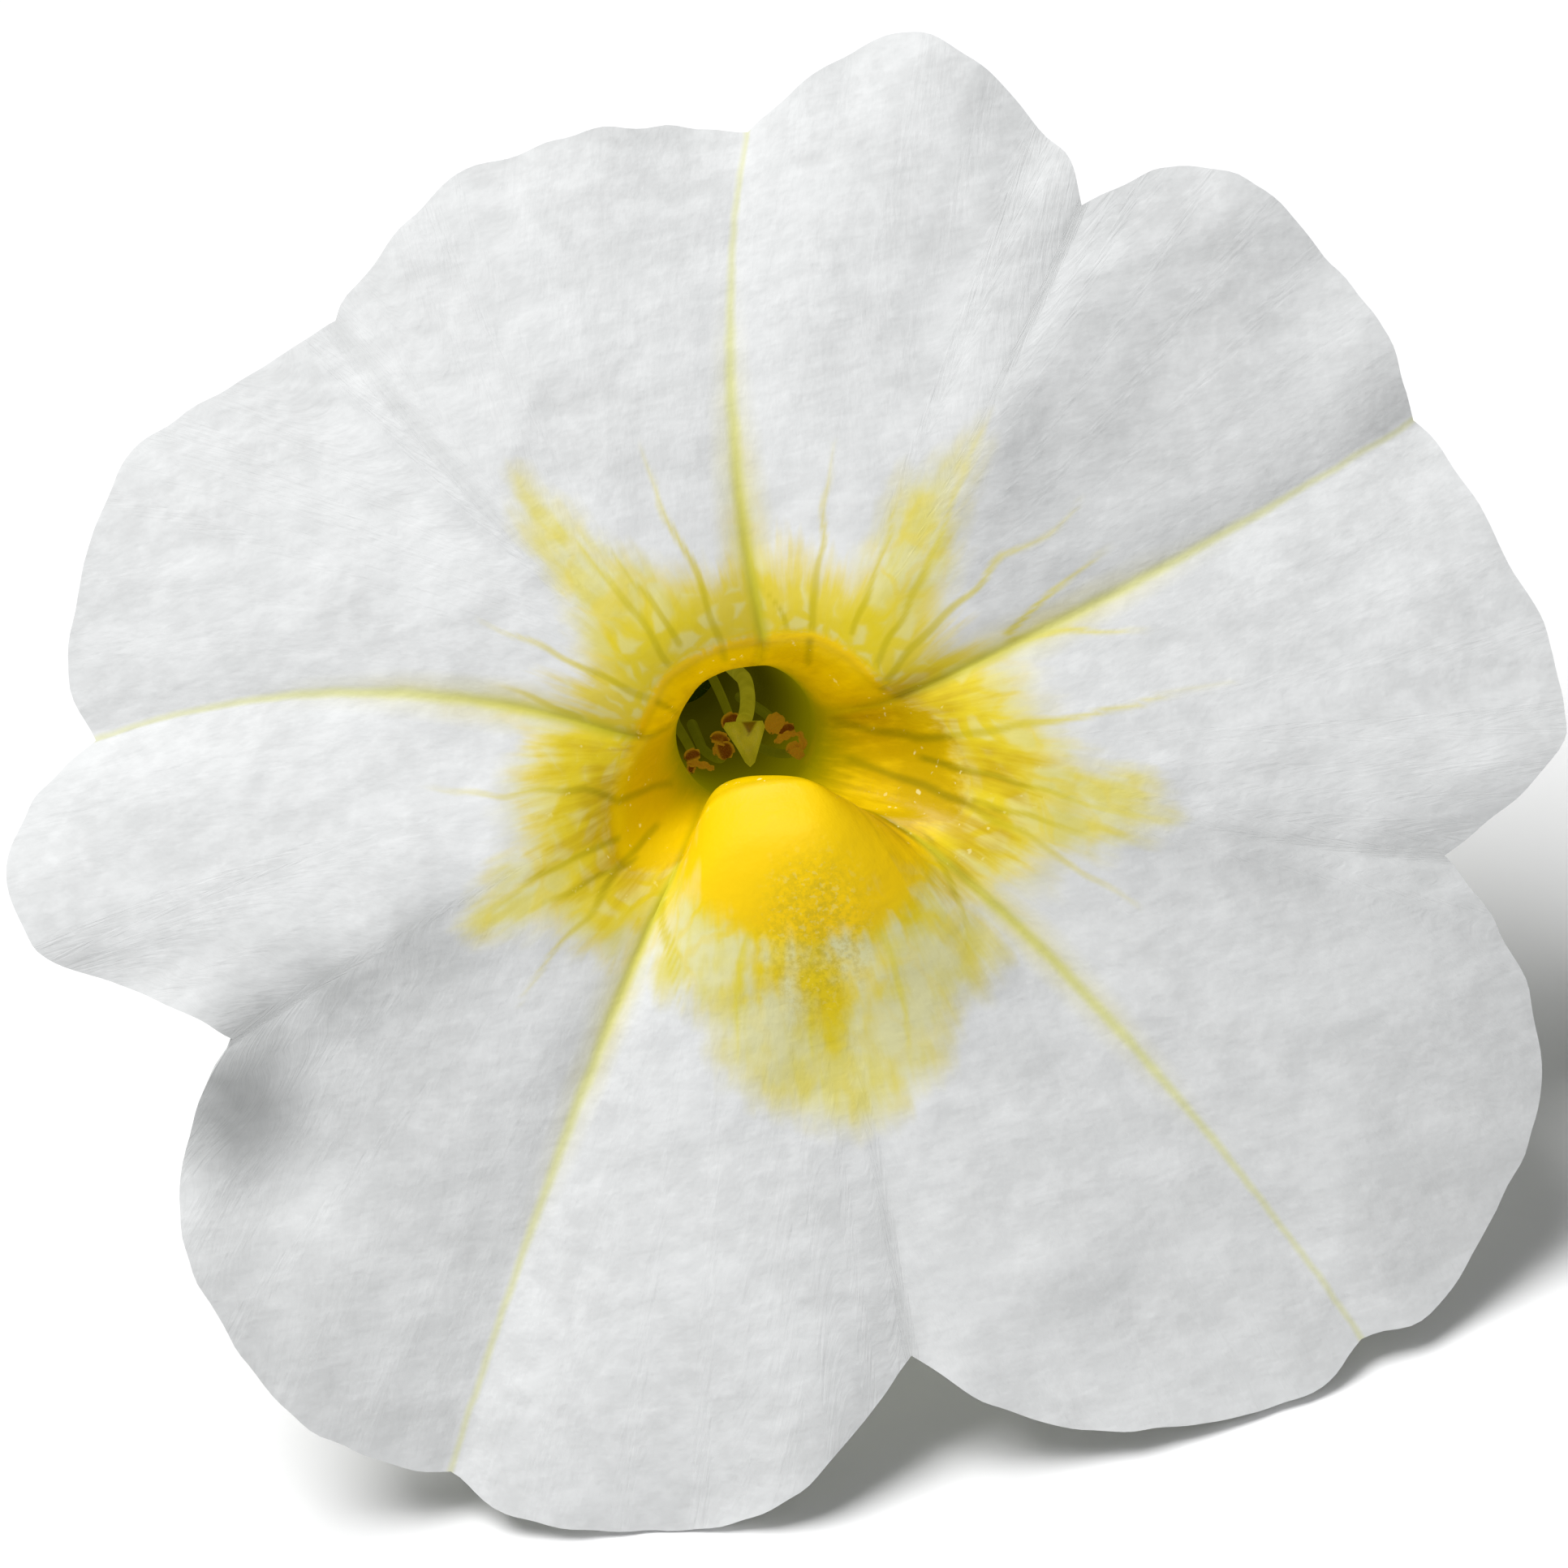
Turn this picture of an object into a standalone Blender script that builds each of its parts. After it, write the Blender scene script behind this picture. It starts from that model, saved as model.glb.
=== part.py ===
"""A picked calibrachoa flower, lying on its side: two of its petal lobes and the cut end of its stalk
touch the surface, and its face looks up and forwards.

The flower is modelled in its own frame, in millimetres: u to the right and v up in the plane of the petals,
as seen by someone who looks into the throat, and w towards that person. w = 0 is the throat's lip."""

import math

import bmesh
import bpy
import numpy as np
from mathutils import Matrix, Vector

MM = 0.001

# How the flower lies: the face looks up by FACE_RISE and is turned about its own axis by FACE_ROLL.
FACE_RISE = 37.333
FACE_ROLL = -13.98
REST_HEIGHT = 12.3927
SIDE_SHIFT = -0.003
BACK_SHIFT = -7.266

# The petals.
BLADE = 0.6
GAP = 0.3
SPOKES = 10
COLUMNS_PER_SPOKE = 10
LIMB_ROWS = 13
FUNNEL_ROWS = 6
TUBE_ROWS = 5
PLEAT_AT_THROAT = 0.4
PLEAT_AT_RIM = 0.8
# How deep the valley on each lobe's vein is, as a share of the pleat, clockwise from the top lobe.
VALLEYS = [0.5, 1.3, 1.2, 1.2, 0.7]
VALLEY_FULL = 0.4
SWEEP = 1.4
SWEEP_POWER = 2.2
LIP_ROUND = 0.35
LIP_REACH = 0.14
LIP_TURN = 2.3
LIP_FALL = 0.9
FUNNEL_PULL = 3.2
# How fast the lip's own outline gives way to the spokes going out, and the rim's going in.
LIP_FADE = 3
RIM_FADE = 1.6
ROW_CROWDING = 1.15
SMOOTHING_PASSES = 3
MOST_SLANT = 0.7
CRIMP = 0.10
CRIMP_START = 0.8
CRIMP_WAVES = 23
# Each seam's steep side: the spoke where the drop starts, the side (1 clockwise, -1 the other way), its depth
# and its width in spokes.
CREASES = [(1, 1, 0.35, 0.50), (3, 1, 0.24, 0.30), (7.15, -1, 0.62, 0.45), (9, -1, 0.34, 0.16)]
CREASE_START = 0.1
CREASE_FULL = 0.7
# Bumps and hollows of the limb: the middle (u, v), the radius and the height.
SWELLS = [
    (3.9, 6.6, 0.85, 0.16), (2.7, 9.0, 1.5, -0.20), (13.2, -1.2, 1.7, 0.25), (16.5, -8.5, 3.6, -1.2),
    (7.0, -11.0, 1.8, -0.26), (-3.2, -16.5, 3.8, -1.5), (-9.2, -14.6, 3.2, -1.6), (-6.8, -9.6, 3.6, -0.8),
    (-9.9, -7.6, 1.4, -0.40), (-11.2, -4.9, 1.6, 0.45), (-7.0, -3.3, 1.9, 0.22), (-5.0, -1.4, 1.6, 0.20),
]
SWELL_START = 0.3

# The swelling of the lower lip, which half closes the throat, on the seam between the two lower lobes.
DOME_SPOKE = 5
DOME_HEIGHT = 1.35
DOME_AT_LIP = 0.8
DOME_CREST = 0.09
DOME_END = 0.52

# The tube behind the throat, narrowing to its foot.
TUBE_MOUTH = (-0.75, 1.03)
TUBE_LEAN = (-0.12, 0.12)
TUBE_FRONT = -3.2
TUBE_FOOT = -15.5
TUBE_RADII = [(-3.2, 1.37), (-5.0, 1.48), (-8.0, 1.38), (-12.0, 1.05), (-15.5, 0.85)]

# Each spoke runs from the throat to a notch of the rim: its middle and its outer end. Veins and seams
# alternate, clockwise from the vein of the top lobe.
SPOKE_MIDDLES = [
    (-1.03, 8.02), (3.64, 6.63), (7.22, 4.14), (7.84, -0.76), (6.70, -5.02),
    (1.46, -5.50), (-4.14, -6.59), (-7.25, -2.86), (-8.18, 1.76), (-5.69, 5.30),
]
NOTCHES = [
    (-0.70, 12.61), (5.72, 11.12), (12.16, 7.03), (12.74, -1.38), (11.17, -10.68),
    (2.46, -11.04), (-6.52, -13.39), (-10.59, -4.90), (-13.34, 0.84), (-8.63, 8.91),
]
# The rim between one notch and the next.
RIM_ARCS = [
    [(0.0, 13.23), (1.24, 14.12), (2.49, 14.49), (3.83, 13.83), (4.93, 12.67), (5.47, 12.05)],
    [(6.66, 11.60), (7.37, 11.90), (8.34, 11.90), (9.44, 11.34), (10.39, 10.33), (11.54, 8.90),
     (12.02, 7.70)],
    [(12.99, 6.16), (13.65, 4.87), (14.67, 3.05), (15.02, 1.42), (14.95, 0.75), (14.42, 0.03),
     (13.41, -0.86)],
    [(13.51, -2.40), (14.37, -3.98), (14.68, -5.75), (14.37, -7.05), (13.41, -9.00), (12.55, -10.16)],
    [(10.39, -11.59), (9.58, -11.93), (7.95, -12.27), (6.03, -12.41), (4.12, -12.01)],
    [(1.73, -12.07), (0.62, -13.31), (-0.47, -14.04), (-1.62, -14.35), (-3.19, -14.46), (-5.44, -14.18)],
    [(-7.93, -13.24), (-9.75, -12.16), (-10.81, -10.64), (-11.43, -9.44), (-11.70, -7.95), (-11.34, -6.22)],
    [(-12.15, -4.12), (-14.12, -3.41), (-14.63, -2.83), (-14.99, -1.73), (-14.63, -0.58), (-14.21, 0.0)],
    [(-13.83, 1.99), (-13.59, 3.90), (-13.06, 5.58), (-12.58, 6.47), (-11.24, 7.36), (-9.08, 8.65)],
    [(-8.37, 9.52), (-7.17, 10.90), (-6.41, 11.66), (-5.05, 12.19), (-3.72, 12.58), (-2.19, 12.71)],
]
# The throat's lip, at each spoke and half-way to the next.
LIP = [
    (-0.42, 2.85), (0.56, 2.89), (1.26, 2.55), (1.85, 1.99), (2.30, 1.68), (3.09, 1.26), (3.72, 0.33),
    (3.48, -0.68), (2.24, -0.76), (1.38, -0.30), (0.37, 0.02), (-1.34, -0.40), (-2.08, -1.63),
    (-3.13, -1.77), (-3.48, -0.76), (-3.27, 0.20), (-2.91, 0.90), (-2.64, 1.46), (-2.35, 2.04), (-1.46, 2.63),
]

# The calyx, measured back from the foot of the petals' tube.
CUP_LENGTH = 3.4
CUP_FLOOR = 0.8
CUP_WALL = 0.6
CUP_SIDES = 30
CUP_FLARE = 0.25
CUP_INNER_EDGE = 0.35
CUP_OUTER_EDGE = 0.2
CUP_FLAT_SHARE = 0.8
CUP_FOOT_SHARE = 0.4
CUP_SLOPE_SHARE = 0.7
SEPALS = 5
SEPAL_LENGTH = 6.0
SEPAL_WIDTH = 1.5
SEPAL_SPREAD = 1.5
SEPAL_ROOT = 0.9
SEPAL_KEEL = 0.25
SEPAL_GRID = (2, 8)
# The sepal's width as a share of its greatest: at the root, and how it grows and then tapers to the tip.
SEPAL_AT_ROOT = 0.62
SEPAL_GROWTH = 0.75
SEPAL_TAPER = 1.05
SEPAL_TAPER_POWER = 2.4

# The stalk under the calyx.
STALK_LENGTH = 7.5
STALK_RADIUS = 0.5
STALK_NECK_RADIUS = 0.75
STALK_NECK_SHARE = 0.33
STALK_DROOP = 0.8
STALK_STEPS = 8

# The pistil.
OVARY_RADIUS = 0.5
OVARY_LENGTH = 1.9
STYLE_RADIUS = 0.17
STYLE_UNDER_ROOF = 0.75
STYLE_ANGLE = 60
STYLE_CLIMB = 4.0
STYLE_DIP = 3.0
STYLE_STEPS = 22
STIGMA_CENTRE = (-0.80, 0.92, -3.9)
STIGMA_SIZE = (0.85, 0.95, 0.5)
STIGMA_NECK = 0.30
STIGMA_SIDES = 6
STIGMA_TIP_RADIUS = 0.06

# The stamens, of which the last is behind the stigma.
SMALL_GAP = 0.08
FILAMENT_RADIUS = 0.12
FILAMENT_FOOT = -10.5
FILAMENT_CLEARANCE = 0.45
FILAMENT_LEAVES = 0.45
FILAMENT_STEPS = 10
FILAMENT_ANGLES = [205, 250, 350, 310, 110]
ANTHER_SIZE = (0.44, 0.36, 0.34)
ANTHER_CENTRES = [
    (-1.75, 0.52, -4.4), (-1.22, 0.52, -4.9), (-0.10, 1.10, -4.5), (0.16, 0.62, -4.2), (-1.05, 1.25, -5.0),
]
ANTHER_TURNS = [20, -35, 15, 70, -10]
ANTHER_FURROW = 0.35
ANTHER_FURROW_WIDTH = 0.15


def between(before, a, b, after, f):
    """A point on the smooth curve from a to b, which knows the points on either side of them."""
    bend = 2 * before - 5 * a + 4 * b - after
    twist = 3 * a - before - 3 * b + after
    return 0.5 * (2 * a + (b - before) * f + bend * f**2 + twist * f**3)


def open_curve(points, position):
    """A point on the smooth curve through all the points, at a position from 0 to 1 by length."""
    points = [np.array(p, float) for p in points]
    lengths = [np.linalg.norm(b - a) for a, b in zip(points, points[1:])]
    along = position * sum(lengths)
    index = 0
    while index < len(lengths) - 1 and along > lengths[index]:
        along -= lengths[index]
        index += 1
    a, b = points[index], points[index + 1]
    before = points[index - 1] if index else 2 * a - b
    after = points[index + 2] if index + 2 < len(points) else 2 * b - a
    return between(before, a, b, after, along / lengths[index])


def ring_curve(points, position):
    """A point on the smooth closed curve through the points, which lie at positions 0, 1, 2 and so on."""
    count = len(points)
    index = int(math.floor(position))
    near = [np.array(points[(index + k) % count], float) for k in (-1, 0, 1, 2)]
    return between(*near, position - index)


def pleat(s):
    """The fold between veins and seams: a sharp valley on a vein, 0, and a rounded ridge on a seam, 1."""
    from_vein = 1 - abs(1 - s % 2)
    return from_vein * (2 - from_vein)


def smooth(x):
    x = min(max(x, 0.0), 1.0)
    return x * x * (3 - 2 * x)


def rim_point(s):
    spoke = int(math.floor(s)) % SPOKES
    arc = [NOTCHES[spoke], *RIM_ARCS[spoke], NOTCHES[(spoke + 1) % SPOKES]]
    return open_curve(arc, s - math.floor(s))


def spoke_point(spoke, t):
    """A spoke's curve in the plane of the petals, from the lip at t = 0 to the notch at t = 1."""
    start, end = np.array(LIP[2 * spoke]), np.array(NOTCHES[spoke])
    bend = 2 * np.array(SPOKE_MIDDLES[spoke]) - (start + end) / 2
    return (1 - t) ** 2 * start + 2 * t * (1 - t) * bend + t * t * end


def limb_plan(s, t):
    """Where the limb lies in its own plane: s counts spokes and t runs from the lip to the rim."""
    first = int(math.floor(s)) % SPOKES
    second = (first + 1) % SPOKES
    f = s - math.floor(s)
    straight = (1 - f) * spoke_point(first, t) + f * spoke_point(second, t)
    lip_off = ring_curve(LIP, 2 * s) - ((1 - f) * np.array(LIP[2 * first]) + f * np.array(LIP[2 * second]))
    rim_off = rim_point(s) - ((1 - f) * np.array(NOTCHES[first]) + f * np.array(NOTCHES[second]))
    return straight + (1 - t) ** LIP_FADE * lip_off + t**RIM_FADE * rim_off


def creases(s, t):
    """The limb drops on the steep side of a seam and rises again towards the next vein."""
    drop = 0.0
    for seam, side, depth, width in CREASES:
        beyond = side * (s % SPOKES - seam)
        if 0 < beyond < 1:
            shape = smooth(beyond / width) if beyond < width else 1 - smooth((beyond - width) / (1 - width))
            drop -= depth * shape * smooth((t - CREASE_START) / (CREASE_FULL - CREASE_START))
    return drop


def dome(s, t):
    aside = min(abs(s % SPOKES - DOME_SPOKE), 1.0)
    across = (1 - aside**2) ** 1.5
    if t < DOME_CREST:
        return DOME_HEIGHT * across * (DOME_AT_LIP + (1 - DOME_AT_LIP) * smooth(t / DOME_CREST))
    return DOME_HEIGHT * across * (1 - smooth((t - DOME_CREST) / (DOME_END - DOME_CREST)))


def valley(s, t):
    """How deep the lobe's valley is at s, as a share of the pleat: all alike at the throat."""
    own = VALLEYS[int(math.floor((s + 1) / 2)) % len(VALLEYS)]
    return 1 + (own - 1) * smooth(t / VALLEY_FULL)


def swells(point):
    height = 0.0
    for u, v, radius, high in SWELLS:
        height += high * math.exp(-((point[0] - u) ** 2 + (point[1] - v) ** 2) / radius**2)
    return height


def limb_height(s, t):
    fold = PLEAT_AT_THROAT + (PLEAT_AT_RIM - PLEAT_AT_THROAT) * t
    height = fold * (0.5 - valley(s, t) * (1 - pleat(s))) - SWEEP * t**SWEEP_POWER
    height += dome(s, t) + creases(s, t)
    if t < LIP_REACH:
        height -= LIP_ROUND * (1 - t / LIP_REACH) ** 2
    crimp = CRIMP * smooth((t - CRIMP_START) / (1 - CRIMP_START))
    return height + crimp * math.sin(CRIMP_WAVES * s * 2 * math.pi / SPOKES)


def limb_point(s, t):
    plan = limb_plan(s, t)
    return np.array([*plan, limb_height(s, t) + swells(plan) * smooth(t / SWELL_START)])


def tube_centre(w):
    depth = TUBE_FRONT - w
    return np.array([TUBE_MOUTH[0] + TUBE_LEAN[0] * depth, TUBE_MOUTH[1] + TUBE_LEAN[1] * depth, w])


def tube_radius(w):
    stations = sorted(TUBE_RADII)
    return float(np.interp(w, [z for z, _ in stations], [r for _, r in stations]))


def off_axis(w, angle, reach):
    """A point beside the tube's axis, in the direction of an angle in degrees from u towards v."""
    turn = math.radians(angle)
    return tube_centre(w) + reach * np.array([math.cos(turn), math.sin(turn), 0.0])


def tube_point(s, w):
    return off_axis(w, 90 - 360 / SPOKES * s, tube_radius(w))


def funnel_point(s, q):
    """The throat's wall, from the lip at q = 0 to the front of the tube at q = 1."""
    start, end = limb_point(s, 0.0), tube_point(s, TUBE_FRONT)
    inward = end[:2] - limb_plan(s, LIP_REACH)
    inward = inward / np.linalg.norm(inward)
    leave = np.array([*(inward * LIP_TURN), -LIP_FALL])
    arrive = FUNNEL_PULL * np.array([TUBE_LEAN[0], TUBE_LEAN[1], -1.0])
    a, b = 2 * q**3 - 3 * q**2 + 1, q**3 - 2 * q**2 + q
    return a * start + b * leave + (1 - a) * end + (q**3 - q**2) * arrive


def front_rows():
    """The rows of the corolla's front surface from the rim to the foot of the tube, each a function of s."""
    rows = []
    for k in range(LIMB_ROWS):
        t = (1 - k / LIMB_ROWS) ** ROW_CROWDING
        rows.append(lambda s, t=t: limb_point(s, t))
    for k in range(FUNNEL_ROWS):
        rows.append(lambda s, q=k / FUNNEL_ROWS: funnel_point(s, q))
    for k in range(TUBE_ROWS + 1):
        w = TUBE_FRONT + (TUBE_FOOT - TUBE_FRONT) * k / TUBE_ROWS
        rows.append(lambda s, w=w: tube_point(s, w))
    return rows


def front_grid(columns):
    rows = front_rows()
    return np.array([[row(c * SPOKES / columns) for row in rows] for c in range(columns)])


def normals_of(grid):
    """Unit normals of a grid that is closed round its columns: towards the viewer, or into the tube."""
    around = np.roll(grid, -1, axis=0) - np.roll(grid, 1, axis=0)
    down = np.gradient(grid, axis=1)
    normals = np.cross(down, around)
    return normals / np.linalg.norm(normals, axis=2, keepdims=True)


def wall_directions(grid):
    """The directions in which the wall has its thickness: the normals, smoothed so that no two lines cross
    in it. Each is lengthened by as much as it slants, so that the wall keeps its thickness."""
    normals = normals_of(grid)
    smoothed = normals.copy()
    for _ in range(SMOOTHING_PASSES):
        inner = (smoothed[:, :-2] + 2 * smoothed[:, 1:-1] + smoothed[:, 2:]) / 4
        smoothed[:, 1:-1] = inner
        smoothed = (np.roll(smoothed, 1, axis=0) + 2 * smoothed + np.roll(smoothed, -1, axis=0)) / 4
        smoothed /= np.linalg.norm(smoothed, axis=2, keepdims=True)
    slant = (smoothed * normals).sum(axis=2, keepdims=True)
    return smoothed / np.clip(slant, MOST_SLANT, 1.0)


def link(obj, collection, material, empty):
    for other in list(obj.users_collection):
        other.objects.unlink(obj)
    collection.objects.link(obj)
    obj.data.materials.clear()
    obj.data.materials.append(material)
    obj.parent = empty


def make_material(name, colour, roughness):
    material = bpy.data.materials.new(name)
    material.use_nodes = True
    shader = material.node_tree.nodes["Principled BSDF"]
    shader.inputs["Base Color"].default_value = (*colour, 1.0)
    shader.inputs["Roughness"].default_value = roughness
    shader.inputs["Metallic"].default_value = 0.0
    material.diffuse_color = (*colour, 1.0)
    return material


def new_object(name, mesh):
    obj = bpy.data.objects.new(name, mesh)
    bpy.context.scene.collection.objects.link(obj)
    return obj


def make_corolla():
    """A ring-shaped primitive whose section runs down the front surface and back up behind it."""
    columns = SPOKES * COLUMNS_PER_SPOKE
    front = front_grid(columns)
    back = front - BLADE * wall_directions(front)
    rows = front.shape[1]
    section = np.concatenate([front, back[:, ::-1]], axis=1)
    bpy.ops.mesh.primitive_torus_add(major_segments=columns, minor_segments=2 * rows)
    obj = bpy.context.object
    obj.name = "corolla"
    mesh = bmesh.new()
    mesh.from_mesh(obj.data)
    mesh.verts.ensure_lookup_table()
    for index, vert in enumerate(mesh.verts):
        vert.co = Vector(section[index // (2 * rows), index % (2 * rows)] * MM)
        vert.index = index
    front_faces = [f for f in mesh.faces if max(v.index % (2 * rows) for v in f.verts) < rows]
    others = [f for f in mesh.faces if f not in set(front_faces)]
    bmesh.ops.triangulate(mesh, faces=front_faces, quad_method="FIXED")
    bmesh.ops.triangulate(mesh, faces=others, quad_method="ALTERNATE")
    bmesh.ops.recalc_face_normals(mesh, faces=mesh.faces)
    mesh.to_mesh(obj.data)
    mesh.free()
    obj.data.shade_smooth()
    return obj


def turned(name, profile, sides):
    """A solid of revolution about its own z from (radius, z) points."""
    mesh = bpy.data.meshes.new(name)
    points = [(r * MM, 0.0, z * MM) for r, z in profile]
    mesh.from_pydata(points, [(k, k + 1) for k in range(len(points) - 1)], [])
    obj = new_object(name, mesh)
    screw = obj.modifiers.new("turn", "SCREW")
    screw.steps = sides
    screw.render_steps = sides
    screw.use_merge_vertices = True
    screw.merge_threshold = 0.00001
    return obj


def applied(obj):
    """The object with its modifiers, or its curve, made a plain mesh."""
    graph = bpy.context.evaluated_depsgraph_get()
    mesh = bpy.data.meshes.new_from_object(obj.evaluated_get(graph))
    solid = bmesh.new()
    solid.from_mesh(mesh)
    bmesh.ops.remove_doubles(solid, verts=solid.verts, dist=0.000002)
    bmesh.ops.recalc_face_normals(solid, faces=solid.faces)
    solid.to_mesh(mesh)
    solid.free()
    name, place = obj.name, obj.matrix_world.copy()
    bpy.data.objects.remove(obj)
    made = new_object(name, mesh)
    made.matrix_world = place
    return made


def joined(name, pieces):
    """One solid from several that overlap."""
    body, rest = pieces[0], pieces[1:]
    group = bpy.data.collections.new(name + "_pieces")
    bpy.context.scene.collection.children.link(group)
    for piece in rest:
        for holder in list(piece.users_collection):
            holder.objects.unlink(piece)
        group.objects.link(piece)
    union = body.modifiers.new("union", "BOOLEAN")
    union.operation = "UNION"
    union.operand_type = "COLLECTION"
    union.collection = group
    union.solver = "EXACT"
    body.name = name
    made = applied(body)
    for piece in rest:
        bpy.data.objects.remove(piece)
    bpy.data.collections.remove(group)
    return made


def tube_along(name, points, radii, bevel_resolution=2):
    """A round rod along the points, with its own radius at each."""
    curve = bpy.data.curves.new(name, "CURVE")
    curve.dimensions = "3D"
    curve.bevel_depth = MM
    curve.bevel_resolution = bevel_resolution
    curve.use_fill_caps = True
    spline = curve.splines.new("POLY")
    spline.points.add(len(points) - 1)
    for target, point, radius in zip(spline.points, points, radii):
        target.co = (*(np.array(point) * MM), 1.0)
        target.radius = radius
    return applied(new_object(name, curve))


def frame_at_foot():
    """The place of a piece that stands on the tube's leaning axis, with its z = 0 at the tube's foot."""
    foot = tube_centre(TUBE_FOOT)
    axis = Vector((-TUBE_LEAN[0], -TUBE_LEAN[1], 1.0)).normalized()
    turn = Vector((0, 0, 1)).rotation_difference(axis).to_matrix().to_4x4()
    return Matrix.Translation(Vector(foot * MM)) @ turn


def sepal_outline(along):
    """The sepal's width from its root, 0, to its tip, 1, as a share of its greatest, near the middle."""
    return SEPAL_AT_ROOT + SEPAL_GROWTH * along - SEPAL_TAPER * along**SEPAL_TAPER_POWER


def sepal(index, cup_radius):
    """A narrow blade that leaves the cup's rim and spreads away from the tube, with a blunt tip."""
    bpy.ops.mesh.primitive_grid_add(x_subdivisions=SEPAL_GRID[0], y_subdivisions=SEPAL_GRID[1], size=1)
    obj = bpy.context.object
    obj.name = f"sepal_{index}"
    turn = Matrix.Rotation(math.radians(360 / SEPALS * index), 4, "Z")
    rim = CUP_LENGTH - CUP_FLOOR - GAP
    for vert in obj.data.vertices:
        along, side = vert.co.y + 0.5, vert.co.x
        width = SEPAL_WIDTH * sepal_outline(along)
        z = rim - SEPAL_ROOT + (SEPAL_LENGTH + SEPAL_ROOT) * along
        inset = CUP_FLARE * max(0.0, rim - z) / rim
        reach = cup_radius - CUP_WALL * 0.5 - inset + SEPAL_SPREAD * along**1.5
        keel = SEPAL_KEEL * (2 * side) ** 2 * (1 - along)
        vert.co = turn @ Vector((side * width * MM, (reach - keel) * MM, z * MM))
    thick = obj.modifiers.new("blade", "SOLIDIFY")
    thick.thickness = BLADE * MM
    thick.offset = 0.0
    return applied(obj)


def make_calyx():
    inside = tube_radius(TUBE_FOOT) + BLADE + GAP
    outside = inside + CUP_WALL
    top = CUP_LENGTH - CUP_FLOOR - GAP
    floor = -GAP
    profile = [
        (0.0, floor), (inside * CUP_FLAT_SHARE, floor), (inside, floor + CUP_INNER_EDGE),
        (inside + CUP_FLARE, top), (outside + CUP_FLARE, top), (outside, floor + CUP_OUTER_EDGE),
        (outside * CUP_FLAT_SHARE, floor - CUP_FLOOR * CUP_SLOPE_SHARE),
        (outside * CUP_FOOT_SHARE, floor - CUP_FLOOR), (0.0, floor - CUP_FLOOR),
    ]
    cup = applied(turned("cup", profile, CUP_SIDES))
    sepals = [sepal(k, outside + CUP_FLARE) for k in range(SEPALS)]
    calyx = joined("calyx", [cup, *sepals])
    calyx.matrix_world = frame_at_foot()
    return calyx


def stalk_point(f):
    """The stalk's centre line, from just under the calyx, 0, to its cut end, 1, bending down a little."""
    start = -GAP - CUP_FLOOR - GAP
    point = frame_at_foot() @ Vector((0.0, -STALK_DROOP * f**2 * MM, (start - STALK_LENGTH * f) * MM))
    return np.array(point) / MM


def make_stalk():
    shares = [k / STALK_STEPS for k in range(STALK_STEPS + 1)]
    swell = STALK_NECK_RADIUS - STALK_RADIUS
    radii = [STALK_RADIUS + swell * max(0.0, 1 - f / STALK_NECK_SHARE) for f in shares]
    return tube_along("stalk", [stalk_point(f) for f in shares], radii, 3)


def style_point(w):
    """The style's centre line: on the tube's axis, then under the tube's roof, then down to the stigma."""
    roof = off_axis(w, STYLE_ANGLE, STYLE_UNDER_ROOF * smooth((w - TUBE_FOOT - OVARY_LENGTH) / STYLE_CLIMB))
    near = smooth((w - STIGMA_CENTRE[2] + STYLE_DIP) / STYLE_DIP)
    return (1 - near) * roof + near * np.array([STIGMA_CENTRE[0], STIGMA_CENTRE[1] + STIGMA_NECK, w])


def make_pistil():
    """Ovary and style as one rod of changing radius, with the arrow-shaped stigma at its end."""
    end = STIGMA_CENTRE[2]
    points, radii = [], []
    for k in range(STYLE_STEPS + 1):
        w = TUBE_FOOT + (end - TUBE_FOOT) * k / STYLE_STEPS
        f = min((w - TUBE_FOOT) / OVARY_LENGTH, 1.0)
        bulge = math.sqrt(1 - abs(2 * f - 1) ** 2)
        points.append(style_point(w))
        radii.append(max(STYLE_RADIUS, OVARY_RADIUS * bulge))
    return joined("pistil", [tube_along("rod", points, radii), make_stigma()])


def make_stigma():
    """A flattened six-sided cone whose point hangs down."""
    bpy.ops.mesh.primitive_cone_add(
        vertices=STIGMA_SIDES, radius1=0.5, radius2=STIGMA_TIP_RADIUS, depth=1.0
    )
    obj = bpy.context.object
    obj.name = "stigma"
    turn = Matrix.Rotation(math.radians(90), 4, "X")
    size = Matrix.Diagonal((*STIGMA_SIZE, 1.0))
    place = Matrix.Translation(Vector(STIGMA_CENTRE) * MM)
    obj.data.transform(place @ Matrix.Scale(MM, 4) @ size @ turn)
    return obj


def make_filament(index):
    """A thread that runs up the tube's wall and leaves it for the back of its anther."""
    top = np.array(ANTHER_CENTRES[index]) - np.array([0.0, 0.0, ANTHER_SIZE[2] / 2 + SMALL_GAP])
    points = []
    for k in range(FILAMENT_STEPS + 1):
        f = k / FILAMENT_STEPS
        w = FILAMENT_FOOT + (top[2] - FILAMENT_FOOT) * f
        wall = off_axis(w, FILAMENT_ANGLES[index], tube_radius(w) - FILAMENT_CLEARANCE)
        near = smooth((f - FILAMENT_LEAVES) / (1 - FILAMENT_LEAVES))
        points.append((1 - near) * wall + near * np.array([top[0], top[1], w]))
    return tube_along(f"filament_{index + 1}", points, [FILAMENT_RADIUS] * len(points), 1)


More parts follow.
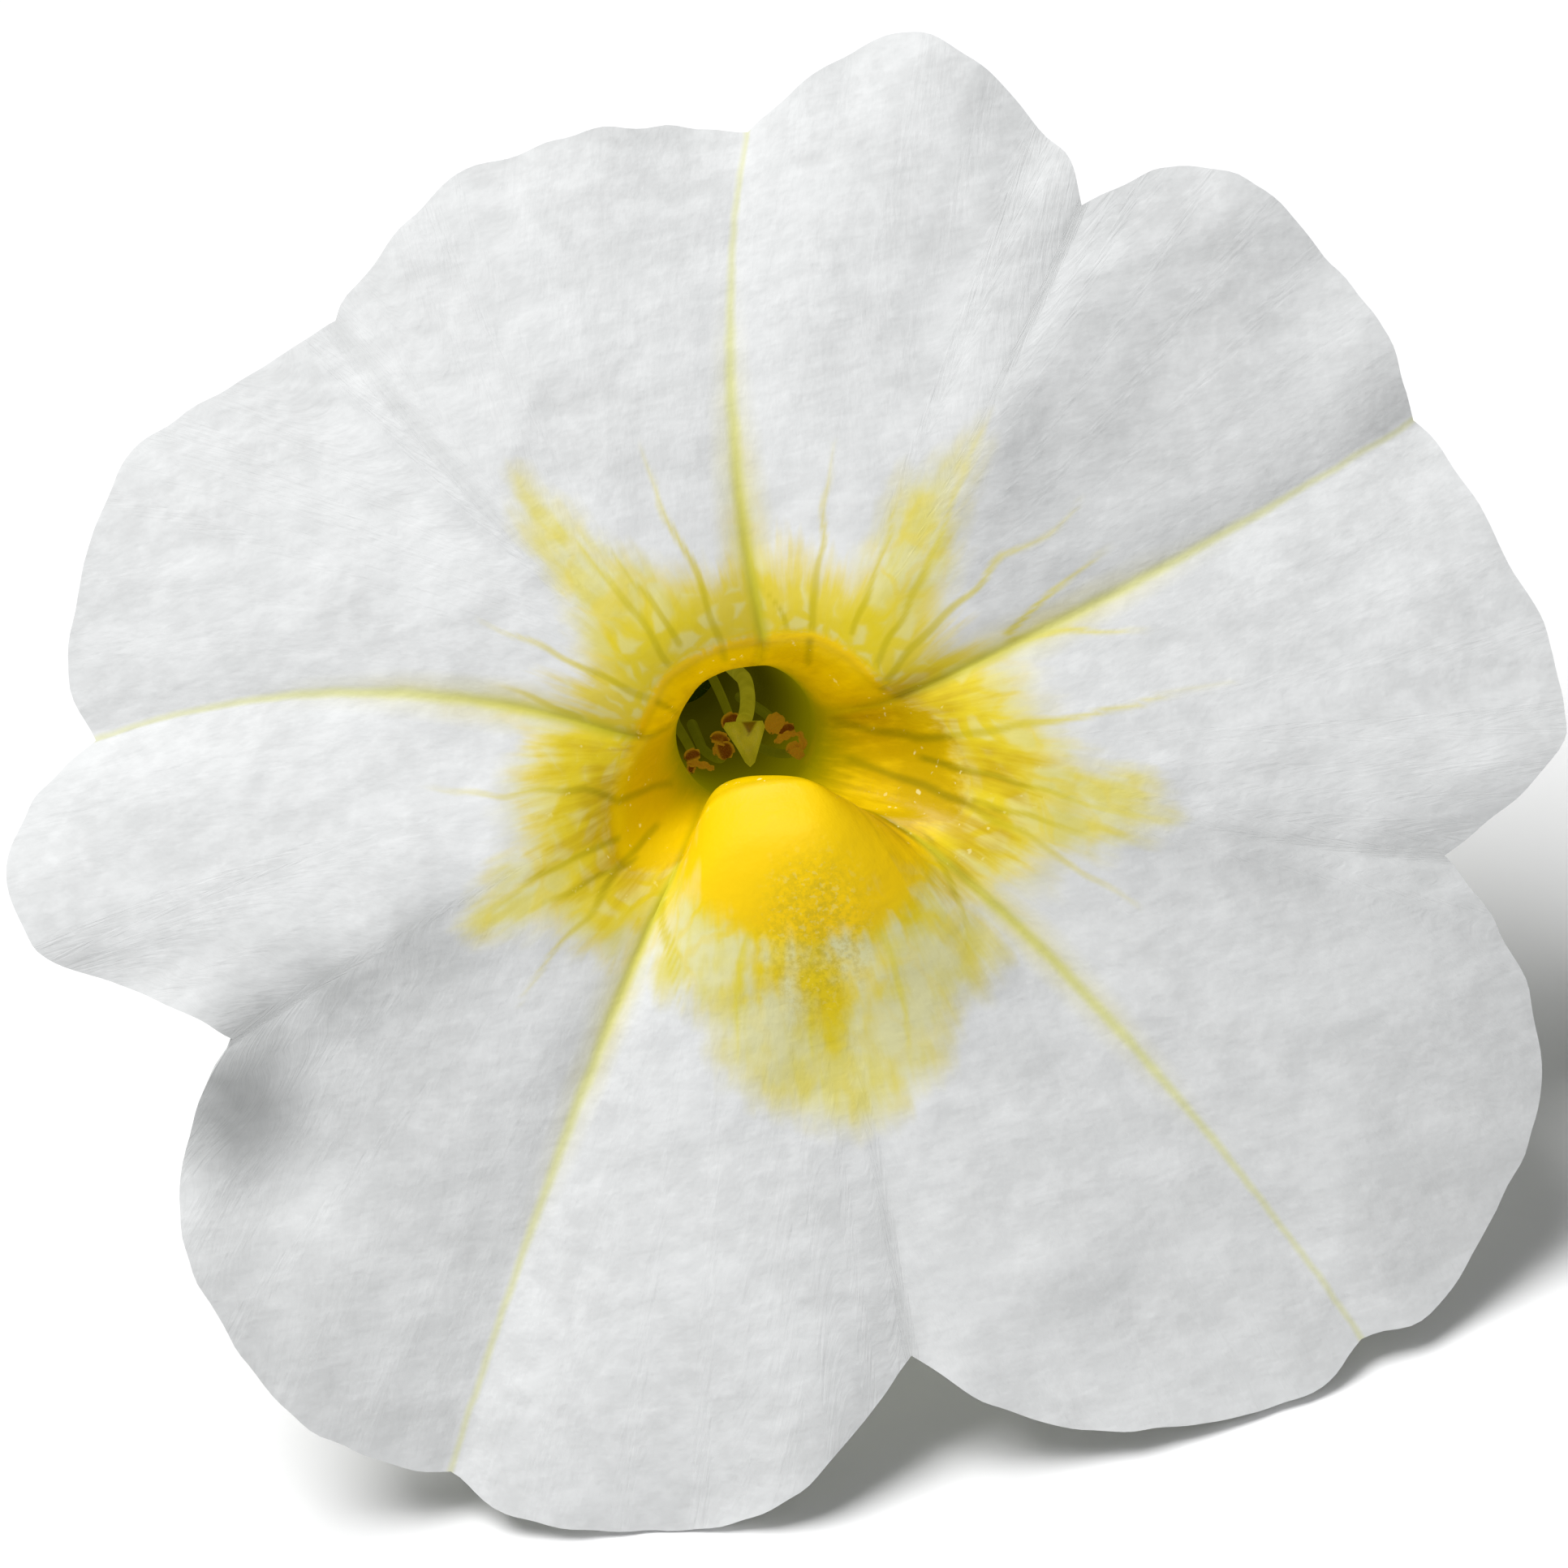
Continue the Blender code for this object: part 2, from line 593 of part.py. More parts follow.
def make_anther(index):
    """A rounded body with a furrow between its two pollen sacs."""
    bpy.ops.mesh.primitive_uv_sphere_add(segments=12, ring_count=8, radius=0.5)
    obj = bpy.context.object
    obj.name = f"anther_{index + 1}"
    for vert in obj.data.vertices:
        vert.co.z *= 1 - ANTHER_FURROW * math.exp(-((vert.co.y / ANTHER_FURROW_WIDTH) ** 2))
    turn = Matrix.Rotation(math.radians(ANTHER_TURNS[index]), 4, "Z")
    size = Matrix.Diagonal((*ANTHER_SIZE, 1.0))
    place = Matrix.Translation(Vector(ANTHER_CENTRES[index]) * MM)
    obj.data.transform(place @ Matrix.Scale(MM, 4) @ turn @ size)
    obj.data.shade_smooth()
    return obj


def lay_down():
    """An empty that carries the whole flower: it turns the flower's own frame to the way it lies."""
    empty = bpy.data.objects.new("calibrachoa_flower", None)
    bpy.context.scene.collection.objects.link(empty)
    rise = Matrix.Rotation(math.radians(90 - FACE_RISE), 4, "X")
    roll = Matrix.Rotation(math.radians(FACE_ROLL), 4, "Z")
    place = Vector((SIDE_SHIFT, BACK_SHIFT, REST_HEIGHT)) * MM
    empty.matrix_world = Matrix.Translation(place) @ rise @ roll
    return empty


def main():
    for obj in list(bpy.data.objects):
        bpy.data.objects.remove(obj)
    petal = make_material("petal", (0.84, 0.85, 0.86), 0.55)
    calyx_green = make_material("calyx_green", (0.16, 0.30, 0.07), 0.6)
    stalk_green = make_material("stalk_green", (0.20, 0.33, 0.09), 0.6)
    pistil_green = make_material("pistil_green", (0.38, 0.38, 0.03), 0.5)
    thread = make_material("filament", (0.42, 0.42, 0.05), 0.5)
    pollen = make_material("anther", (0.36, 0.12, 0.02), 0.8)
    flower = bpy.data.collections.new("calibrachoa_flower")
    bpy.context.scene.collection.children.link(flower)
    pieces = [
        (make_corolla(), petal),
        (make_calyx(), calyx_green),
        (make_stalk(), stalk_green),
        (make_pistil(), pistil_green),
    ]
    for index in range(len(ANTHER_CENTRES)):
        pieces.append((make_filament(index), thread))
        pieces.append((make_anther(index), pollen))
    empty = lay_down()
    for obj, material in pieces:
        link(obj, flower, material, empty)


main()
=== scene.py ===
# A picked calibrachoa flower that lies on its side, seen straight into its throat.
# The flower has its own frame, in millimetres: u right and v up in the petals' plane, w towards the eye.

import math
import bpy
import numpy as np
from mathutils import Matrix, Vector, noise


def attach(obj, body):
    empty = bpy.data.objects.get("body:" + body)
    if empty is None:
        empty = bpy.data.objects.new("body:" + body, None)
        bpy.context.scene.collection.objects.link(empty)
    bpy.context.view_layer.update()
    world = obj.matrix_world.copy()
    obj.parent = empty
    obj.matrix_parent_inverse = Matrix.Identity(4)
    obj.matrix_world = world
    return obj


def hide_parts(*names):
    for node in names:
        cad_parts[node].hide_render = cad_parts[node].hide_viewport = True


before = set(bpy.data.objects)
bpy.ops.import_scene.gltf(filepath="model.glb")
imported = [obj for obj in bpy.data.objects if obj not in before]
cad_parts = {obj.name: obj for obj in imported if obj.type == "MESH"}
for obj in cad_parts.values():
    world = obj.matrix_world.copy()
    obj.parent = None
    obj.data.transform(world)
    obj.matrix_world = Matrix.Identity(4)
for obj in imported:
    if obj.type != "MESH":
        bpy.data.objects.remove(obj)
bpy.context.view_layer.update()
mm = 0.001

# how the flower lies on the floor, the same as its solids
lie = dict(rise=37.333, roll=-13.98, side=-0.003, back=-7.266, height=12.3927)
laid = (Matrix.Translation(Vector((lie["side"], lie["back"], lie["height"])) * mm)
        @ Matrix.Rotation(math.radians(90 - lie["rise"]), 4, "X")
        @ Matrix.Rotation(math.radians(lie["roll"]), 4, "Z"))


# shader helpers: they add nodes to the tree in hand; a value is a number, a colour or a node's output

hand = dict(tree=None)


def plug(socket, value):
    if isinstance(value, bpy.types.NodeSocket):
        hand["tree"].links.new(value, socket)
    elif isinstance(value, tuple) and len(value) == 3 and socket.type == "RGBA":
        socket.default_value = (*value, 1)
    else:
        socket.default_value = value


def addNode(kind, *inOrder, **byName):
    made = hand["tree"].nodes.new("ShaderNode" + kind)
    for key, value in (*enumerate(inOrder), *byName.items()):
        plug(made.inputs[key], value)
    return made


def calc(operation, a, b=0):
    made = addNode("Math", a, b)
    made.operation = operation
    return made.outputs[0]


def times(a, b):
    return calc("MULTIPLY", a, b)


def plus(a, b):
    return calc("ADD", a, b)


def minus(a, b):
    return calc("SUBTRACT", a, b)


def fade(value, low, high, atLow=0, atHigh=1):
    made = addNode("MapRange", value, low, high, atLow, atHigh)
    made.interpolation_type = "SMOOTHSTEP"
    return made.outputs["Result"]


def mixed(amount, first, second, mode="MIX"):
    made = addNode("Mix")
    made.data_type = "RGBA"
    made.blend_type = mode
    for index, given in ((0, amount), (6, first), (7, second)):
        plug(made.inputs[index], given)
    return made.outputs[2]


def layered(colour, *coats):
    # each coat is how much of it and its tint, laid over the ones before
    for amount, name in coats:
        colour = mixed(amount, colour, tint[name])
    return colour


def grain(vector, scale, detail=3, rough=0.55):
    return addNode("TexNoise", Vector=vector, Scale=scale, Detail=detail, Roughness=rough).outputs["Fac"]


def swing(vector, scale, detail=2, rough=0.55):
    # noise about zero
    return minus(grain(vector, scale, detail, rough), 0.5)


def joined(x, y, z=0):
    return addNode("CombineXYZ", x, y, z).outputs["Vector"]


def stretched(vector, factors):
    made = addNode("VectorMath", vector, factors)
    made.operation = "MULTIPLY"
    return made.outputs["Vector"]


def readAttribute(name):
    made = addNode("Attribute")
    made.attribute_name = name
    return made.outputs["Fac"]


def objectPlace():
    return addNode("TexCoord").outputs["Object"]


def newMaterial(name, rough):
    made = bpy.data.materials.new(name)
    made.use_nodes = True
    made.cycles.emission_sampling = "NONE"
    hand["tree"] = made.node_tree
    inputs = made.node_tree.nodes["Principled BSDF"].inputs
    inputs["Roughness"].default_value = rough
    return made, inputs


def paintedShineThrough(inputs, colour, share):
    # painted light: a share of its own colour is given off as emission, standing in for daylight through thin
    # tissue lit from outside
    plug(inputs["Emission Color"], mixed(1, colour, (share, share, share), "MULTIPLY"))
    inputs["Emission Strength"].default_value = 1


def addBump(inputs, height, strength, distance):
    made = addNode("Bump", Strength=strength, Distance=distance, Height=height)
    plug(inputs["Normal"], made.outputs["Normal"])


# the petals' form: five lobes grown together, read off as spokes (veins and seams by turns, clockwise
# from the top vein) with the outline of the rim and of the throat's lip between them

form = dict(
    spokes=10, lean=(-0.12, 0.12), tubeMouth=(-0.75, 1.03), tubeFront=-3.2, tubeFoot=-15.5,
    tubeStations=(-15.5, -12.0, -8.0, -5.0, -3.2), tubeRadii=(0.85, 1.05, 1.38, 1.48, 1.37),
    foldAtThroat=0.4, foldAtRim=0.8, valleys=(0.5, 1.3, 1.2, 1.2, 0.7), valleyFull=0.4,
    sweep=1.4, sweepPower=2.2, lipRound=0.35, lipReach=0.14, lipTurn=2.3, lipFall=0.9, funnelPull=3.2,
    lipFade=3, rimFade=1.6, crimp=0.1, crimpStart=0.8, crimpWaves=23,
    domeSpoke=5, domeHeight=1.35, domeAtLip=0.8, domeCrest=0.09, domeEnd=0.52,
    creases=((1, 1, 0.35, 0.50), (3, 1, 0.24, 0.30), (7.15, -1, 0.62, 0.45), (9, -1, 0.34, 0.16)),
    creaseStart=0.1, creaseFull=0.7,
    swells=(
        (3.9, 6.6, 0.85, 0.16), (2.7, 9.0, 1.5, -0.20), (13.2, -1.2, 1.7, 0.25), (16.5, -8.5, 3.6, -1.2),
        (7.0, -11.0, 1.8, -0.26), (-3.2, -16.5, 3.8, -1.5), (-9.2, -14.6, 3.2, -1.6), (-6.8, -9.6, 3.6, -0.8),
        (-9.9, -7.6, 1.4, -0.40), (-11.2, -4.9, 1.6, 0.45), (-7.0, -3.3, 1.9, 0.22), (-5.0, -1.4, 1.6, 0.20)),
    swellStart=0.3,
)
spokeMiddles = np.array([
    (-1.03, 8.02), (3.64, 6.63), (7.22, 4.14), (7.84, -0.76), (6.7, -5.02),
    (1.46, -5.5), (-4.14, -6.59), (-7.25, -2.86), (-8.18, 1.76), (-5.69, 5.3)])
notches = np.array([
    (-0.7, 12.61), (5.72, 11.12), (12.16, 7.03), (12.74, -1.38), (11.17, -10.68),
    (2.46, -11.04), (-6.52, -13.39), (-10.59, -4.9), (-13.34, 0.84), (-8.63, 8.91)])
rimArcs = [
    [(0.0, 13.23), (1.24, 14.12), (2.49, 14.49), (3.83, 13.83), (4.93, 12.67), (5.47, 12.05)],
    [(6.66, 11.6), (7.37, 11.9), (8.34, 11.9), (9.44, 11.34), (10.39, 10.33), (11.54, 8.9), (12.02, 7.7)],
    [(12.99, 6.16), (13.65, 4.87), (14.67, 3.05), (15.02, 1.42), (14.95, 0.75), (14.42, 0.03), (13.41, -0.86)],
    [(13.51, -2.4), (14.37, -3.98), (14.68, -5.75), (14.37, -7.05), (13.41, -9.00), (12.55, -10.16)],
    [(10.39, -11.59), (9.58, -11.93), (7.95, -12.27), (6.03, -12.41), (4.12, -12.01)],
    [(1.73, -12.07), (0.62, -13.31), (-0.47, -14.04), (-1.62, -14.35), (-3.19, -14.46), (-5.44, -14.18)],
    [(-7.93, -13.24), (-9.75, -12.16), (-10.81, -10.64), (-11.43, -9.44), (-11.7, -7.95), (-11.34, -6.22)],
    [(-12.15, -4.12), (-14.12, -3.41), (-14.63, -2.83), (-14.99, -1.73), (-14.63, -0.58), (-14.21, 0.0)],
    [(-13.83, 1.99), (-13.59, 3.9), (-13.06, 5.58), (-12.58, 6.47), (-11.24, 7.36), (-9.08, 8.65)],
    [(-8.37, 9.52), (-7.17, 10.9), (-6.41, 11.66), (-5.05, 12.19), (-3.72, 12.58), (-2.19, 12.71)]]
lip = np.array([
    (-0.42, 2.85), (0.56, 2.89), (1.26, 2.55), (1.85, 1.99), (2.3, 1.68), (3.09, 1.26), (3.72, 0.33),
    (3.48, -0.68), (2.24, -0.76), (1.38, -0.3), (0.37, 0.02), (-1.34, -0.4), (-2.08, -1.63),
    (-3.13, -1.77), (-3.48, -0.76), (-3.27, 0.2), (-2.91, 0.9), (-2.64, 1.46), (-2.35, 2.04), (-1.46, 2.63)])


def smooth(x):
    x = np.clip(x, 0.0, 1.0)
    return x * x * (3 - 2 * x)


def between(before, a, b, after, f):
    bend = 2 * before - 5 * a + 4 * b - after
    twist = 3 * a - before - 3 * b + after
    return 0.5 * (2 * a + (b - before) * f + bend * f**2 + twist * f**3)


def traceRim(samplesPerArc=120):
    # the whole rim as spoke positions and points, for reading by interpolation
    positions, points = [], []
    for spoke, arc in enumerate(rimArcs):
        arc = np.array([notches[spoke], *arc, notches[(spoke + 1) % form["spokes"]]])
        lengths = np.linalg.norm(np.diff(arc, axis=0), axis=1)
        ends = np.concatenate([[0], np.cumsum(lengths)]) / lengths.sum()
        padded = np.concatenate([[2 * arc[0] - arc[1]], arc, [2 * arc[-1] - arc[-2]]])
        for k in range(samplesPerArc):
            f = k / samplesPerArc
            i = min(int(np.searchsorted(ends, f, side="right")) - 1, len(lengths) - 1)
            part = (f - ends[i]) / (ends[i + 1] - ends[i])
            positions.append(spoke + f)
            points.append(between(*padded[i:i + 4], part))
    positions.append(form["spokes"])
    points.append(points[0])
    return np.array(positions), np.array(points)


rimPositions, rimPoints = traceRim()


def rimPoint(s):
    s = s % form["spokes"]
    return np.stack([np.interp(s, rimPositions, rimPoints[:, axis]) for axis in (0, 1)], -1)


def lipPoint(s):
    index = np.floor(2 * s).astype(int)
    near = [lip[(index + k) % len(lip)] for k in (-1, 0, 1, 2)]
    return between(*near, (2 * s - index)[..., None])


def spokePoint(spoke, t):
    start, end = lip[2 * spoke], notches[spoke]
    bend = 2 * spokeMiddles[spoke] - (start + end) / 2
    t = t[..., None]
    return (1 - t) ** 2 * start + 2 * t * (1 - t) * bend + t * t * end


def limbPlan(s, t):
    first = np.floor(s).astype(int) % form["spokes"]
    second = (first + 1) % form["spokes"]
    f = (s - np.floor(s))[..., None]
    straight = (1 - f) * spokePoint(first, t) + f * spokePoint(second, t)
    lipOff = lipPoint(s) - ((1 - f) * lip[2 * first] + f * lip[2 * second])
    rimOff = rimPoint(s) - ((1 - f) * notches[first] + f * notches[second])
    return straight + (1 - t[..., None]) ** form["lipFade"] * lipOff + t[..., None] ** form["rimFade"] * rimOff


def creaseDrop(s, t):
    drop = np.zeros_like(s)
    for seam, side, depth, width in form["creases"]:
        beyond = side * (s % form["spokes"] - seam)
        falling = smooth(beyond / width)
        rising = 1 - smooth((beyond - width) / (1 - width))
        shape = np.where(beyond < width, falling, rising) * ((beyond > 0) & (beyond < 1))
        drop -= depth * shape * smooth((t - form["creaseStart"]) / (form["creaseFull"] - form["creaseStart"]))
    return drop


def domeHeight(s, t):
    aside = np.clip(np.abs(s % form["spokes"] - form["domeSpoke"]), 0, 1)
    rising = form["domeAtLip"] + (1 - form["domeAtLip"]) * smooth(t / form["domeCrest"])
    falling = 1 - smooth((t - form["domeCrest"]) / (form["domeEnd"] - form["domeCrest"]))
    return form["domeHeight"] * (1 - aside**2) ** 1.5 * np.where(t < form["domeCrest"], rising, falling)


def limbHeight(s, t):
    fromVein = 1 - np.abs(1 - s % 2)
    fold = form["foldAtThroat"] + (form["foldAtRim"] - form["foldAtThroat"]) * t
    own = np.array(form["valleys"])[np.floor((s + 1) / 2).astype(int) % len(form["valleys"])]
    valley = 1 + (own - 1) * smooth(t / form["valleyFull"])
    height = fold * (0.5 - valley * (1 - fromVein) ** 2) - form["sweep"] * t ** form["sweepPower"]
    height += domeHeight(s, t) + creaseDrop(s, t)
    height -= form["lipRound"] * np.clip(1 - t / form["lipReach"], 0, 1) ** 2
    crimp = form["crimp"] * smooth((t - form["crimpStart"]) / (1 - form["crimpStart"]))
    return height + crimp * np.sin(form["crimpWaves"] * s * 2 * math.pi / form["spokes"])


def softSpots(plan, spots):
    # one row per spot: its middle, radius and height
    return [high * np.exp(-((plan[..., 0] - u) ** 2 + (plan[..., 1] - v) ** 2) / wide**2)
            for u, v, wide, high in spots]


def limbPoint(s, t):
    plan = limbPlan(s, t)
    height = limbHeight(s, t) + sum(softSpots(plan, form["swells"])) * smooth(t / form["swellStart"])
    return np.concatenate([plan, height[..., None]], -1)


def tubeCentre(w):
    w = np.asarray(w, float)
    u, v = (mouth + lean * (form["tubeFront"] - w) for mouth, lean in zip(form["tubeMouth"], form["lean"]))
    return np.stack([u, v, w], -1)


def tubeRadius(w):
    return np.interp(w, form["tubeStations"], form["tubeRadii"])


def offAxis(w, degrees, reach):
    turn = np.radians(degrees)
    aside = np.stack([np.cos(turn), np.sin(turn), np.zeros_like(turn)], -1)
    return tubeCentre(w) + np.asarray(reach)[..., None] * aside


def tubePoint(s, w):
    return offAxis(w, 90 - 360 / form["spokes"] * s, tubeRadius(w) + 0 * s)


def funnelPoint(s, q):
    start, end = limbPoint(s, 0 * s), tubePoint(s, form["tubeFront"] + 0 * s)
    inward = end[..., :2] - limbPlan(s, form["lipReach"] + 0 * s)
    inward /= np.linalg.norm(inward, axis=-1, keepdims=True)
    leave = np.concatenate([inward * form["lipTurn"], np.full(s.shape + (1,), -form["lipFall"])], -1)
    arrive = form["funnelPull"] * np.array([form["lean"][0], form["lean"][1], -1.0])
    q = q[..., None]
    a, b = 2 * q**3 - 3 * q**2 + 1, q**3 - 2 * q**2 + q
    return a * start + b * leave + (1 - a) * end + (q**3 - q**2) * arrive


def frontSurface(s, reach):
    # reach is 1 at the rim, 0 at the lip, -1 at the front of the tube and -2 at its foot
    limb = limbPoint(s, np.clip(reach, 0, 1))
    funnel = funnelPoint(s, np.clip(-reach, 0, 1))
    depth = np.clip(-reach - 1, 0, 1)
    tube = tubePoint(s, form["tubeFront"] + (form["tubeFoot"] - form["tubeFront"]) * depth)
    return np.where(reach[..., None] > 0, limb, np.where(reach[..., None] > -1, funnel, tube))


# the petals' colour fields, worked out point by point in the petals' plane

# outlines of the yellow star's arms on the seams
starArms = [
    [(3.72, 6.63), (2.24, 5.69), (1.93, 4.91), (1.31, 3.51), (0.3, 2.97),
     (1.46, 1.96), (2.4, 2.58), (3.09, 3.51), (3.2, 4.14), (3.37, 5.38)],
    [(7.53, -0.72), (6.75, 0.17), (5.66, 0.59), (4.57, 1.34), (3.33, 1.62),
     (2.55, 1.03), (3.33, -0.53), (4.11, -1.07), (5.04, -1.34), (6.44, -1.18)],
    [(1.15, -6.63), (-0.09, -6.28), (-1.03, -5.66), (-1.34, -4.65), (-2.58, -3.64), (-2.12, -2.08),
     (2.86, -1.46), (4.26, -3.17), (3.33, -4.26), (2.86, -5.66), (2.08, -6.44)],
    [(-6.08, -2.71), (-5.38, -1.46), (-4.14, -0.53), (-3.2, 0.17), (-2.58, 0.09),
     (-2.27, -1.77), (-3.2, -3.56), (-3.83, -3.02), (-4.45, -2.58), (-5.38, -2.94)],
    [(-5.15, 5.85), (-4.48, 5.35), (-3.62, 4.68), (-2.75, 4.2), (-1.62, 3.62), (-0.95, 3.05),
     (-2.58, 1.49), (-3.53, 2.29), (-4.01, 3.14), (-4.57, 4.29), (-5.07, 5.07)],
]
# side veins as points in the petals' plane, with the half width at the root
sideVeins = [
    ([(-1.1, 2.4), (-1.34, 3.05), (-1.8, 4.29), (-2.43, 5.38), (-2.74, 6.55)], 0.085),
    ([(0.48, 2.4), (0.53, 2.9), (0.68, 4.45), (0.84, 5.69), (0.96, 6.55)], 0.085),
    ([(1.9, 1.9), (2.49, 2.66), (3.64, 3.72), (4.21, 4.39), (5.18, 4.87), (5.75, 5.54)], 0.095),
    ([(1.0, 1.2), (2.6, 0.85), (3.16, 0.93), (4.6, 1.18), (5.75, 1.28), (7.19, 1.66), (8.62, 1.94)], 0.095),
    ([(4.3, 2.75), (5.37, 2.95), (7.09, 2.91)], 0.06),
    ([(1.2, 0.5), (2.9, -0.1), (3.45, -0.39), (4.6, -0.96), (5.75, -1.77), (6.91, -2.32)], 0.095),
    ([(2.7, -0.9), (2.97, -1.43), (3.45, -2.49), (3.55, -3.16), (3.25, -4.03)], 0.07),
    ([(-2.3, -2.3), (-2.33, -2.63), (-2.08, -3.25), (-1.62, -4.31)], 0.07),
    ([(-2.5, -0.9), (-3.2, -1.6), (-3.72, -2.49), (-4.48, -3.25), (-5.05, -4.21)], 0.08),
    ([(-2.2, 0.0), (-3.2, -0.3), (-3.81, -0.09), (-5.44, -0.19), (-6.87, -0.09)], 0.08),
    ([(-2.1, 1.4), (-3.14, 1.9), (-4.48, 2.57), (-5.83, 3.14)], 0.08),
    ([(-5.15, 5.85), (-4.14, 4.76), (-2.74, 3.2), (-2.2, 2.3)], 0.075),
    ([(-3.62, 4.68), (-2.58, 3.51), (-2.0, 2.7)], 0.06),
    ([(3.64, 6.55), (3.17, 5.07), (2.4, 3.51), (1.75, 2.3)], 0.075),
    ([(2.24, 5.69), (1.85, 4.29), (1.3, 2.9)], 0.06),
    ([(7.37, -0.76), (5.82, -0.37), (4.26, 0.09), (2.6, 0.5)], 0.07),
    ([(6.44, -1.15), (4.88, -0.68), (3.64, -0.37)], 0.06),
    ([(-6.08, -2.71), (-4.91, -1.93), (-3.2, -1.0)], 0.07),
    ([(-5.07, -2.55), (-3.83, -1.93), (-2.89, -1.46)], 0.06),
    ([(-0.79, -5.66), (-0.95, -4.11), (-0.56, -2.4)], 0.085),
    ([(0.84, -6.44), (0.53, -4.88), (0.53, -3.33)], 0.07),
    ([(2.55, -5.82), (2.24, -3.95), (1.77, -2.4)], 0.085),
    ([(-1.96, -4.42), (-2.27, -3.17), (-2.35, -2.4)], 0.07),
    ([(-0.45, 3.9), (-0.15, 3.4), (0.05, 2.9)], 0.05),
    ([(-0.85, 5.0), (-0.62, 4.2), (-0.5, 3.4)], 0.05),
    ([(-5.5, 1.9), (-4.6, 1.55), (-3.9, 1.25)], 0.06),
    ([(6.3, 4.6), (5.2, 3.75), (4.3, 2.9)], 0.05),
]


def alongLine(plan, a, b):
    a, b = np.array(a), np.array(b)
    part = np.clip((plan - a) @ (b - a) / ((b - a) @ (b - a)), 0, 1)
    return part, np.linalg.norm(plan - a - part[..., None] * (b - a), axis=-1)


def insideBy(plan, outline):
    # how far inside an outline each point lies, in millimetres, less than nothing outside it
    inside = np.zeros(len(plan), bool)
    nearest = np.full(len(plan), 99.0)
    for (ax, ay), (bx, by) in zip(outline, outline[1:] + outline[:1]):
        crosses = (ay > plan[:, 1]) != (by > plan[:, 1])
        meets = (bx - ax) * (plan[:, 1] - ay) / (by - ay + 1e-12) + ax
        inside ^= crosses & (plan[:, 0] < meets)
        nearest = np.minimum(nearest, alongLine(plan, (ax, ay), (bx, by))[1])
    return np.where(inside, nearest, -nearest)


def starDepth(plan):
    return np.clip(np.max([insideBy(plan, arm) for arm in starArms], axis=0), -2, 2)


veins = dict(shake=0.09, shakePitch=1.4, thin=0.55, taper=0.4, least=0.025, edge=1.9, soft=1.7, fadeOut=0.75)


def veinTone(plan):
    tone = np.zeros(len(plan))
    pitch = veins["shakePitch"]
    shake = np.array([[noise.noise(Vector((pitch * u, pitch * v, layer))) for layer in (0.0, 5.0)]
                      for u, v in plan])
    plan = plan + veins["shake"] * shake
    for points, width in sideVeins:
        middle = np.linalg.norm(np.array(points), axis=1)
        share = (middle - middle.min()) / (middle.max() - middle.min())
        for k in range(len(points) - 1):
            part, away = alongLine(plan, points[k], points[k + 1])
            out = share[k] + (share[k + 1] - share[k]) * part   # 0 at the root and 1 at the tip
            half = veins["thin"] * width * (1 - veins["taper"] * out) + veins["least"]
            line = smooth((veins["edge"] - away / half) / veins["soft"])
            tone = np.maximum(tone, line * (1 - veins["fadeOut"] * out**2))
    return tone


# oval fields on the palate: middle, radii, where they end and how softly
fields = dict(gold=((0.38, -1.35), (2.95, 2.1), 1.16, 0.62), lowGold=((0.6, -3.3), (2.0, 2.1), 1.1, 0.7),
              speck=((0.6, -2.9), (1.3, 2.0), 1.1, 0.7))


def fieldTone(plan, name):
    middle, radii, end, soft = fields[name]
    return smooth((end - np.linalg.norm((plan - middle) / radii, axis=1)) / soft)


def goldTone(plan, reach, opened):
    lipBand = smooth((0.035 - reach) / 0.06) * (1 - opened)
    return np.maximum(lipBand, np.maximum(fieldTone(plan, "gold"), 0.5 * fieldTone(plan, "lowGold")))


# one sheet that goes round and round: columns by rows, moved to where its shape says

def moveBy(matrix, points):
    place = np.array(matrix)
    return points @ place[:3, :3].T + place[:3, 3]


def readPoints(mesh):
    flat = np.empty(len(mesh.vertices) * 3, np.float32)
    mesh.vertices.foreach_get("co", flat)
    return flat.reshape(-1, 3)


def writePoints(mesh, points):
    mesh.vertices.foreach_set("co", points.astype(np.float32).ravel())


def gridPiece(name, columns, rows, shape, tones=None, materials=()):
    bpy.ops.object.select_all(action="DESELECT")
    bpy.ops.mesh.primitive_grid_add(x_subdivisions=columns, y_subdivisions=rows, size=1)
    obj = bpy.context.object
    mesh = obj.data
    obj.name = mesh.name = name
    flat = readPoints(mesh)
    across = np.rint((flat[:, 0] + 0.5) * columns) / columns
    down = np.rint((0.5 - flat[:, 1]) * rows) / rows
    points = shape(across, down)
    for tone, values in (tones(across, down, points) if tones else {}).items():
        layer = mesh.attributes.new(tone, "FLOAT", "POINT")
        layer.data.foreach_set("value", np.asarray(values, np.float32))
    writePoints(mesh, moveBy(laid, points * mm))
    bpy.ops.object.mode_set(mode="EDIT")
    bpy.ops.mesh.select_all(action="SELECT")
    bpy.ops.mesh.remove_doubles(threshold=1e-7)
    bpy.ops.mesh.normals_make_consistent(inside=False)
    bpy.ops.object.mode_set(mode="OBJECT")
    for material in materials:
        mesh.materials.append(material)
    return obj


def giveWall(obj, thickness, offset=-1, back=0):
    wall = obj.modifiers.new("wall", "SOLIDIFY")
    wall.thickness = thickness * mm
    wall.offset = offset
    wall.material_offset = back
    bpy.ops.object.modifier_apply(modifier="wall")


def faceEye(obj):
    # turns the whole sheet over if most of it faces away from the eye
    towards = laid.to_3x3() @ Vector((0, 0, 1))
    if sum(face.normal.dot(towards) * face.area for face in obj.data.polygons) < 0:
        obj.data.flip_normals()


def pick(obj, *others):
    bpy.ops.object.select_all(action="DESELECT")
    for each in (obj, *others):
        each.select_set(True)
    bpy.context.view_layer.objects.active = obj


